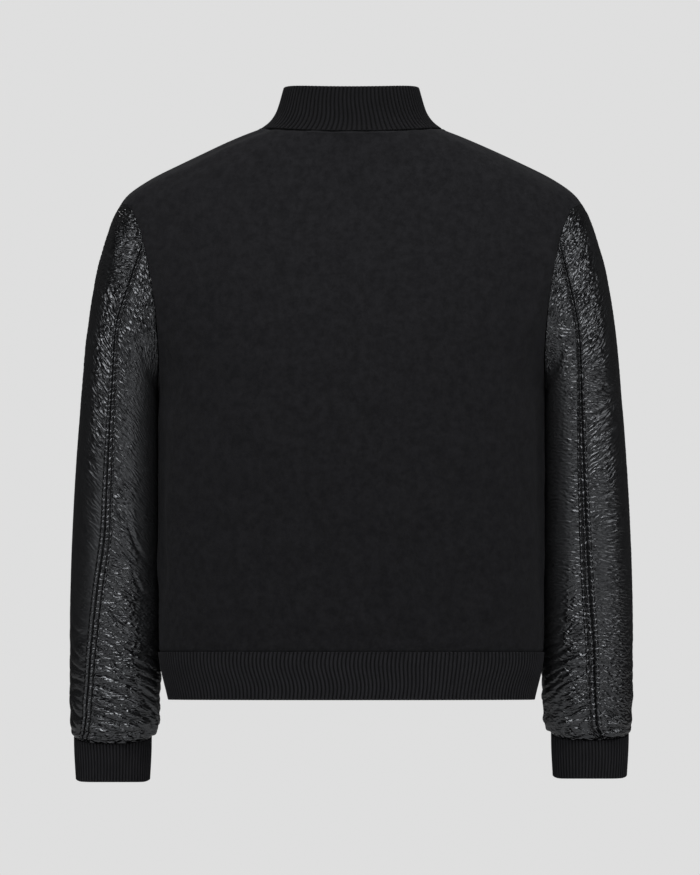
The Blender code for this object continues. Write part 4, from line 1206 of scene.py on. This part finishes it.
def make_hem(material):
    """The hem band, one strip whose ends overlap as the fronts do."""
    top = SIDE_LEVELS[-1]
    seam, _ = seam_line(top)
    around = lengths_along(seam)
    right_end = np.arange(len(seam)) > len(seam) // 2

    def ratio(column, level):
        """A size of the body at a level, as a share of that at the seam."""
        return read_column(TORSO, column, level) / read_column(TORSO, column, top)

    def point_at(along, depth):
        """The band's base surface: the seam, drawn in as the body's table is below it."""
        level = top - depth
        backward = np.clip(seam[:, 1] / read_column(TORSO, "back_depth", top), 0.0, 1.0)
        lift = read_column(TORSO, "back_lift", level) - read_column(TORSO, "back_lift", top)
        row = seam.copy()
        row[:, 0] *= ratio("half_width", level)
        row[:, 1] *= np.where(
            seam[:, 1] > 0.0, ratio("back_depth", level), ratio("front_depth", level)
        )
        row[:, 2] += lift * backward - depth - SEAM_GAP / 2
        under = smooth_step((row[:, 0] + TUCK_START) / (TUCK_START - TUCK_END))
        row[:, 1] += under * right_end * (row[:, 1] < 0.0) * (RIB_THICKNESS + RIB_RAISE + SEAM_GAP)
        return at_lengths(along, around, row)

    piece = ribbed_band("hem_rib_knit", point_at, HEM_DEPTH, around[-1], HEM_RIBS, SWAYS["hem"],
                        False, material)
    declare(piece, ["hem_rib"], CUTS["hem_rib"])


def make_collar(material):
    """The stand collar, from the middle of the front round the neck and back."""
    seam, angles = seam_line(0.0)
    from_middle = np.where(angles < math.pi / 2, seam[:, 0], -seam[:, 0])
    kept = (seam[:, 1] > 0.0) | (from_middle > COLLAR_END_GAP)
    seam = seam[kept]
    around = lengths_along(seam)
    length = around[-1]
    backness = np.clip(seam[:, 1] / TORSO[0].back_depth, 0.0, 1.0) ** 2
    tallest = COLLAR[-1].height + COLLAR_BACK_EXTRA * backness
    from_end = np.minimum(around, length - around)
    into_corner = np.clip(COLLAR_CORNER - from_end, 0.0, COLLAR_CORNER)
    drop = COLLAR_CORNER - np.sqrt(COLLAR_CORNER**2 - into_corner**2)
    share_of_height = 1.0 - drop / COLLAR[-1].height

    def point_at(along, depth):
        """The collar's base surface: the seam, raised and drawn in."""
        height = COLLAR[-1].height - depth
        wide = read_column(COLLAR, "half_width", height) / COLLAR[0].half_width
        row = seam * (wide, 1.0 - COLLAR_LEAN * (1.0 - wide), 1.0)
        row[:, 2] += height / COLLAR[-1].height * tallest * share_of_height + SEAM_GAP / 2
        return at_lengths(along, around, row)

    piece = ribbed_band("collar_knit_painted_shade", point_at, COLLAR[-1].height, length, COLLAR_RIBS,
                        SWAYS["collar"], True, material)
    declare(piece, ["collar_rib"], CUTS["collar_rib"])


# --- Materials ---------------------------------------------------------------------------------

def new_material(name, color, roughness, metallic=0.0, **inputs):
    """A Principled material with its constant values."""
    material = bpy.data.materials.new(name)
    material.use_nodes = True
    shader = material.node_tree.nodes["Principled BSDF"]
    shader.inputs["Base Color"].default_value = (*color, 1.0)
    shader.inputs["Roughness"].default_value = roughness
    shader.inputs["Metallic"].default_value = metallic
    for key, value in inputs.items():
        shader.inputs[key.replace("_", " ")].default_value = value
    return material


def add_node(material, kind, **settings):
    """A node with its settings: sockets by their names, and properties by theirs."""
    node = material.node_tree.nodes.new(kind)
    for key, value in settings.items():
        if hasattr(node, key):
            setattr(node, key, value)
        else:
            node.inputs[key.replace("_", " ")].default_value = value
    return node


def link(material, source, target):
    """Join an output to an input."""
    material.node_tree.links.new(source, target)


def noise(material, scale, detail=2.0, roughness=0.5, stretch=None):
    """A noise texture in the object's own metres."""
    place = add_node(material, "ShaderNodeTexCoord")
    texture = add_node(material, "ShaderNodeTexNoise",
                       Scale=scale, Detail=detail, Roughness=roughness)
    if stretch:
        mapping = add_node(material, "ShaderNodeMapping", Scale=stretch)
        link(material, place.outputs["Object"], mapping.inputs["Vector"])
        link(material, mapping.outputs["Vector"], texture.inputs["Vector"])
    else:
        link(material, place.outputs["Object"], texture.inputs["Vector"])
    return texture


def turned_noise(material, length, width, angle, detail=0.5):
    """Noise in the piece's flat place, its blobs longer along an angle in degrees."""
    place = add_node(material, "ShaderNodeUVMap", uv_map="place")
    mapping = add_node(material, "ShaderNodeMapping", vector_type="TEXTURE",
                       Rotation=(0.0, 0.0, math.radians(angle)), Scale=(length, width, 1.0))
    texture = add_node(material, "ShaderNodeTexNoise", noise_dimensions="2D", Scale=1.0,
                       Detail=detail, Roughness=0.45, Distortion=0.1)
    link(material, place.outputs["UV"], mapping.inputs["Vector"])
    link(material, mapping.outputs["Vector"], texture.inputs["Vector"])
    return texture.outputs["Fac"]


def attribute(material, name, output):
    """One output of a value painted on the piece."""
    return add_node(material, "ShaderNodeAttribute", attribute_name=name).outputs[output]


def math_node(material, operation, first, second):
    """A sum, product or the like of an output and another one or a number."""
    node = add_node(material, "ShaderNodeMath", operation=operation)
    link(material, first, node.inputs[0])
    if isinstance(second, float):
        node.inputs[1].default_value = second
    else:
        link(material, second, node.inputs[1])
    return node.outputs["Value"]


def mapped(material, source, low, high, to_low, to_high):
    """Map a value's range to another."""
    node = add_node(material, "ShaderNodeMapRange", From_Min=low, From_Max=high,
                    To_Min=to_low, To_Max=to_high)
    link(material, source, node.inputs["Value"])
    return node.outputs["Result"]


def mixed_color(material, factor, first, second):
    """Mix two colours."""
    node = add_node(material, "ShaderNodeMix", data_type="RGBA")
    colors = [socket for socket in node.inputs if socket.type == "RGBA"]
    colors[0].default_value = (*first, 1.0)
    colors[1].default_value = (*second, 1.0)
    link(material, factor, node.inputs["Factor"])
    return [socket for socket in node.outputs if socket.type == "RGBA"][0]


def bump(material, height, strength, distance, normal=None):
    """A bump node, on top of another one where it is given."""
    node = add_node(material, "ShaderNodeBump", Strength=strength, Distance=distance)
    link(material, height, node.inputs["Height"])
    if normal:
        link(material, normal, node.inputs["Normal"])
    return node.outputs["Normal"]


def shader_of(material):
    """The Principled shader of a material."""
    return material.node_tree.nodes["Principled BSDF"]


def wool_material():
    """Charcoal black melton: matt, napped, a little uneven."""
    wool = new_material("melton_wool", (0.02, 0.02, 0.022), 1.0,
                        Sheen_Weight=0.03, Sheen_Roughness=0.7, Sheen_Tint=(0.75, 0.76, 0.8, 1.0),
                        Specular_IOR_Level=0.05)
    shader = shader_of(wool)
    mottle = noise(wool, 110.0, 6.0, 0.8)
    factor = mapped(wool, mottle.outputs["Fac"], 0.38, 0.62, 0.0, 1.0)
    link(wool, mixed_color(wool, factor, (0.0062, 0.0062, 0.0070), (0.0118, 0.0118, 0.0132)),
         shader.inputs["Base Color"])
    nap = noise(wool, 800.0, 3.0, 0.6)
    fibre = noise(wool, 240.0, 4.0, 0.65, (1.0, 1.0, 0.55))
    normal = bump(wool, nap.outputs["Fac"], 0.5, 0.0006)
    link(wool, bump(wool, fibre.outputs["Fac"], 0.35, 0.0012, normal), shader.inputs["Normal"])
    return wool


def leather_material():
    """Glossy black lambskin, crinkled in strands that lie as its painted weights say."""
    leather = new_material("black_leather", (0.012, 0.012, 0.013), 0.3, Specular_IOR_Level=0.9,
                           Specular_Tint=(0.92, 0.95, 1.0, 1.0))
    shader = shader_of(leather)
    smudge = noise(leather, 70.0, 3.0, 0.6)
    weights = add_node(leather, "ShaderNodeSeparateXYZ")
    link(leather, attribute(leather, "lean", "Vector"), weights.inputs["Vector"])
    total = None
    for crinkle, weight in zip(CRINKLES, (*weights.outputs, attribute(leather, "lean", "Alpha"))):
        blobs = turned_noise(leather, crinkle.length, crinkle.width, crinkle.angle)
        around = math_node(leather, "SUBTRACT", blobs, 0.5)
        squared = math_node(leather, "MULTIPLY", around, around)
        strand = math_node(leather, "SQRT", math_node(leather, "ADD", squared, FINE_VALLEY), 0.0)
        part = math_node(leather, "MULTIPLY", strand, weight)
        total = math_node(leather, "ADD", total, part) if total else part
    polish = mapped(leather, total, 0.01, 0.12, 0.0, 0.15)
    total = math_node(leather, "MULTIPLY", total, BUMP_DISTANCE)

    first, last = SEAM_STOPS[0].off, SEAM_STOPS[-1].off
    across = mapped(leather, attribute(leather, "seam", "Fac"),
                    SEAM_MIDDLE + first * 0.001, SEAM_MIDDLE + last * 0.001, 0.0, 1.0)
    stops = add_node(leather, "ShaderNodeValToRGB")
    ramp = stops.color_ramp
    ramp.interpolation = "EASE"
    for stop in SEAM_STOPS[1:-1]:
        ramp.elements.new((stop.off - first) / (last - first))
    for element, stop in zip(ramp.elements, SEAM_STOPS):
        element.color = (stop.bead, stop.groove, 0.0, 1.0)
    link(leather, across, stops.inputs["Fac"])
    amounts = add_node(leather, "ShaderNodeSeparateColor")
    link(leather, stops.outputs["Color"], amounts.inputs["Color"])
    bead, groove = amounts.outputs["Red"], amounts.outputs["Green"]

    flat = add_node(leather, "ShaderNodeUVMap", uv_map="place")
    place = add_node(leather, "ShaderNodeSeparateXYZ")
    link(leather, flat.outputs["UV"], place.inputs["Vector"])
    jitter = math_node(leather, "MULTIPLY", noise(leather, 90.0, 1.0).outputs["Fac"], BEAD_WANDER)
    along = math_node(leather, "ADD", place.outputs["Y"], jitter)
    turn = math_node(leather, "MULTIPLY", along, math.pi / BEAD_PITCH)
    wave = math_node(leather, "ABSOLUTE", math_node(leather, "SINE", turn, 0.0), 0.0)
    ripple = math_node(leather, "POWER", wave, BEAD_ROUNDNESS)
    swell = math_node(leather, "MULTIPLY", math_node(leather, "MULTIPLY", bead, ripple), BEAD_SWELL)
    total = math_node(leather, "ADD", total, swell)
    cut = math_node(leather, "MULTIPLY", groove, GROOVE_CUT)
    normal = bump(leather, math_node(leather, "SUBTRACT", total, cut), 1.0, 1.0)
    grain = noise(leather, 1100.0, 2.0, 0.5)
    normal = bump(leather, grain.outputs["Fac"], 0.15, 0.0003, normal)
    link(leather, normal, shader.inputs["Normal"])

    rough = mapped(leather, smudge.outputs["Fac"], 0.3, 0.7, 0.32, 0.40)
    rough = math_node(leather, "SUBTRACT", rough, polish)
    for operation, source, share in (("SUBTRACT", bead, BEAD_POLISH),
                                     ("ADD", attribute(leather, "dull", "Fac"), INNER_ROUGHNESS),
                                     ("ADD", groove, GROOVE_ROUGHNESS)):
        rough = math_node(leather, operation, rough, math_node(leather, "MULTIPLY", source, share))
    link(leather, rough, shader.inputs["Roughness"])
    # Painted shade: the base colour is darker in the seam's grooves
    link(leather, mixed_color(leather, groove, (0.006, 0.006, 0.0065), (0.002, 0.002, 0.002)),
         shader.inputs["Base Color"])
    return leather


def knit_material(name, shade):
    """Matt black rib knit, with painted shade that makes it darker down between its ribs."""
    knit = new_material(name, (0.012, 0.012, 0.013), 1.0, Sheen_Weight=0.025,
                        Sheen_Roughness=0.6, Specular_IOR_Level=0.06)
    shader = shader_of(knit)
    worn = noise(knit, 55.0, 4.0, 0.6)
    # Painted shade: ridge runs from 0 in the grooves between the ribs to 1 on their tops, and the
    # colour below is darker where it is low
    ridge = mapped(knit, attribute(knit, "rib", "Fac"), 0.25, 1.0, 0.0, 1.0)
    uneven = mapped(knit, worn.outputs["Fac"], 0.3, 0.7, 0.72, 1.0)
    link(knit, mixed_color(knit, math_node(knit, "MULTIPLY", ridge, uneven),
                           (0.0030 * shade, 0.0030 * shade, 0.0035 * shade),
                           (0.0160 * shade, 0.0160 * shade, 0.0180 * shade)),
         shader.inputs["Base Color"])
    loops = add_node(knit, "ShaderNodeTexWave", wave_type="BANDS", bands_direction="Y",
                     Scale=210.0, Distortion=1.2, Detail=2.0, Detail_Scale=2.0)
    place = add_node(knit, "ShaderNodeUVMap", uv_map="place")
    link(knit, place.outputs["UV"], loops.inputs["Vector"])
    fuzz = noise(knit, 900.0, 2.0, 0.6)
    normal = bump(knit, loops.outputs["Fac"], 0.35, 0.0005)
    link(knit, bump(knit, fuzz.outputs["Fac"], 0.4, 0.0005, normal), shader.inputs["Normal"])
    return knit


def thread_material():
    """Waxed black sewing thread."""
    thread = new_material("black_thread", (0.010, 0.010, 0.011), 0.45, Specular_IOR_Level=0.4)
    normal = bump(thread, noise(thread, 1500.0).outputs["Fac"], 0.5, 0.0003)
    link(thread, normal, shader_of(thread).inputs["Normal"])
    return thread


def snap_material():
    """Satin black enamel on metal."""
    snap = new_material("snap_enamel", (0.02, 0.02, 0.021), 0.35, 0.4, Coat_Weight=0.4,
                        Coat_Roughness=0.2)
    shader = shader_of(snap)
    wear = noise(snap, 900.0, 3.0, 0.6)
    link(snap, mapped(snap, wear.outputs["Fac"], 0.3, 0.7, 0.28, 0.42), shader.inputs["Roughness"])
    return snap


# --- Stage -------------------------------------------------------------------------------------

def make_stage():
    """A plain pale floor under the jacket."""
    mesh = bpy.data.meshes.new("floor")
    corners = ((-1, -1), (1, -1), (1, 1), (-1, 1))
    mesh.from_pydata([(x * FLOOR_HALF, y * FLOOR_HALF, FLOOR_LEVEL) for x, y in corners],
                     [], [(0, 1, 2, 3)])
    floor = bpy.data.objects.new("floor", mesh)
    bpy.context.collection.objects.link(floor)
    mesh.materials.append(new_material("pale_floor", (FLOOR_GREY,) * 3, 0.9))


def make_lights():
    """Soft studio light: rectangles over and beside the jacket, and a plain surround that the
    camera sees as bright, but that hardly lights the jacket."""
    for name, place, size, watts in LIGHTS:
        data = bpy.data.lights.new(name, "AREA")
        data.shape = "RECTANGLE"
        data.size, data.size_y = size
        data.energy = watts
        light = bpy.data.objects.new(name, data)
        light.location = place
        facing = Vector(LIGHTS_FACE) - Vector(place)
        light.rotation_euler = facing.to_track_quat("-Z", "Y").to_euler()
        bpy.context.collection.objects.link(light)
    world = bpy.data.worlds.new("studio")
    bpy.context.scene.world = world
    world.use_nodes = True
    nodes, links = world.node_tree.nodes, world.node_tree.links
    background = nodes["Background"]
    background.inputs["Color"].default_value = (SURROUND_GREY,) * 3 + (1.0,)
    path = nodes.new("ShaderNodeLightPath")
    strength = nodes.new("ShaderNodeMapRange")
    strength.inputs["To Min"].default_value = SURROUND_LIGHT
    strength.inputs["To Max"].default_value = 1.0
    links.new(path.outputs["Is Camera Ray"], strength.inputs["Value"])
    links.new(strength.outputs["Result"], background.inputs["Strength"])


def make_camera():
    """A level camera behind the jacket, far enough away for the photograph's flat perspective."""
    data = bpy.data.cameras.new("camera")
    data.sensor_fit = "AUTO"
    data.sensor_width = SENSOR_WIDTH
    data.lens = SENSOR_WIDTH * CAMERA_DISTANCE / (PHOTO_HEIGHT * PIXEL)
    data.dof.use_dof = False
    data.clip_end = FAR
    camera = bpy.data.objects.new("camera", data)
    camera.location = (CAMERA_X, CAMERA_DISTANCE, CAMERA_Z)
    camera.rotation_euler = (math.pi / 2, 0.0, math.pi)
    bpy.context.collection.objects.link(camera)
    bpy.context.scene.camera = camera
    bpy.context.scene.view_settings.view_transform = "Standard"


# --- The jacket --------------------------------------------------------------------------------

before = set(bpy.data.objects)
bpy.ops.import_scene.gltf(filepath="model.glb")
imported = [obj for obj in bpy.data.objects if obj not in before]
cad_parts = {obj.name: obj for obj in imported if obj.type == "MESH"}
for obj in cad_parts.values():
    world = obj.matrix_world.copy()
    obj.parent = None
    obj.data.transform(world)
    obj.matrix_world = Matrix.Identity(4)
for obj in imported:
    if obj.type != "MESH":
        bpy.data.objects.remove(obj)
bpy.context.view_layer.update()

wool = wool_material()
leather = leather_material()
knit = knit_material("rib_knit", 1.3)
# The collar's knit is a darker copy of the same knit: painted shade
collar_knit_painted_shade = knit_material("collar_rib_knit_painted_shade", 0.6)
snap = snap_material()
thread = thread_material()

noises = Noises(
    [noise_field(c.cell, c.stretch, c.angle, c.seed) for c in CRINKLES],
    {side: noise_field(f.cell, f.stretch, f.angle, f.seed) for side, f in FOLDS.items()},
    noise_field(PATCH_CELL, 1.0, 0, PATCH_SEED),
)
for side, shorter in (("left", 0.0), ("right", RIGHT_SLEEVE_SHORTER)):
    last_ring = make_sleeve(side, shorter, leather, thread, noises)
    make_cuff(side, last_ring, knit)
make_body(wool, noises.patches)
make_hem(knit)
make_collar(collar_knit_painted_shade)
for name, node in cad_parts.items():
    if name.startswith("snap_"):
        node.data.materials.clear()
        node.data.materials.append(snap)

make_stage()
make_lights()
make_camera()
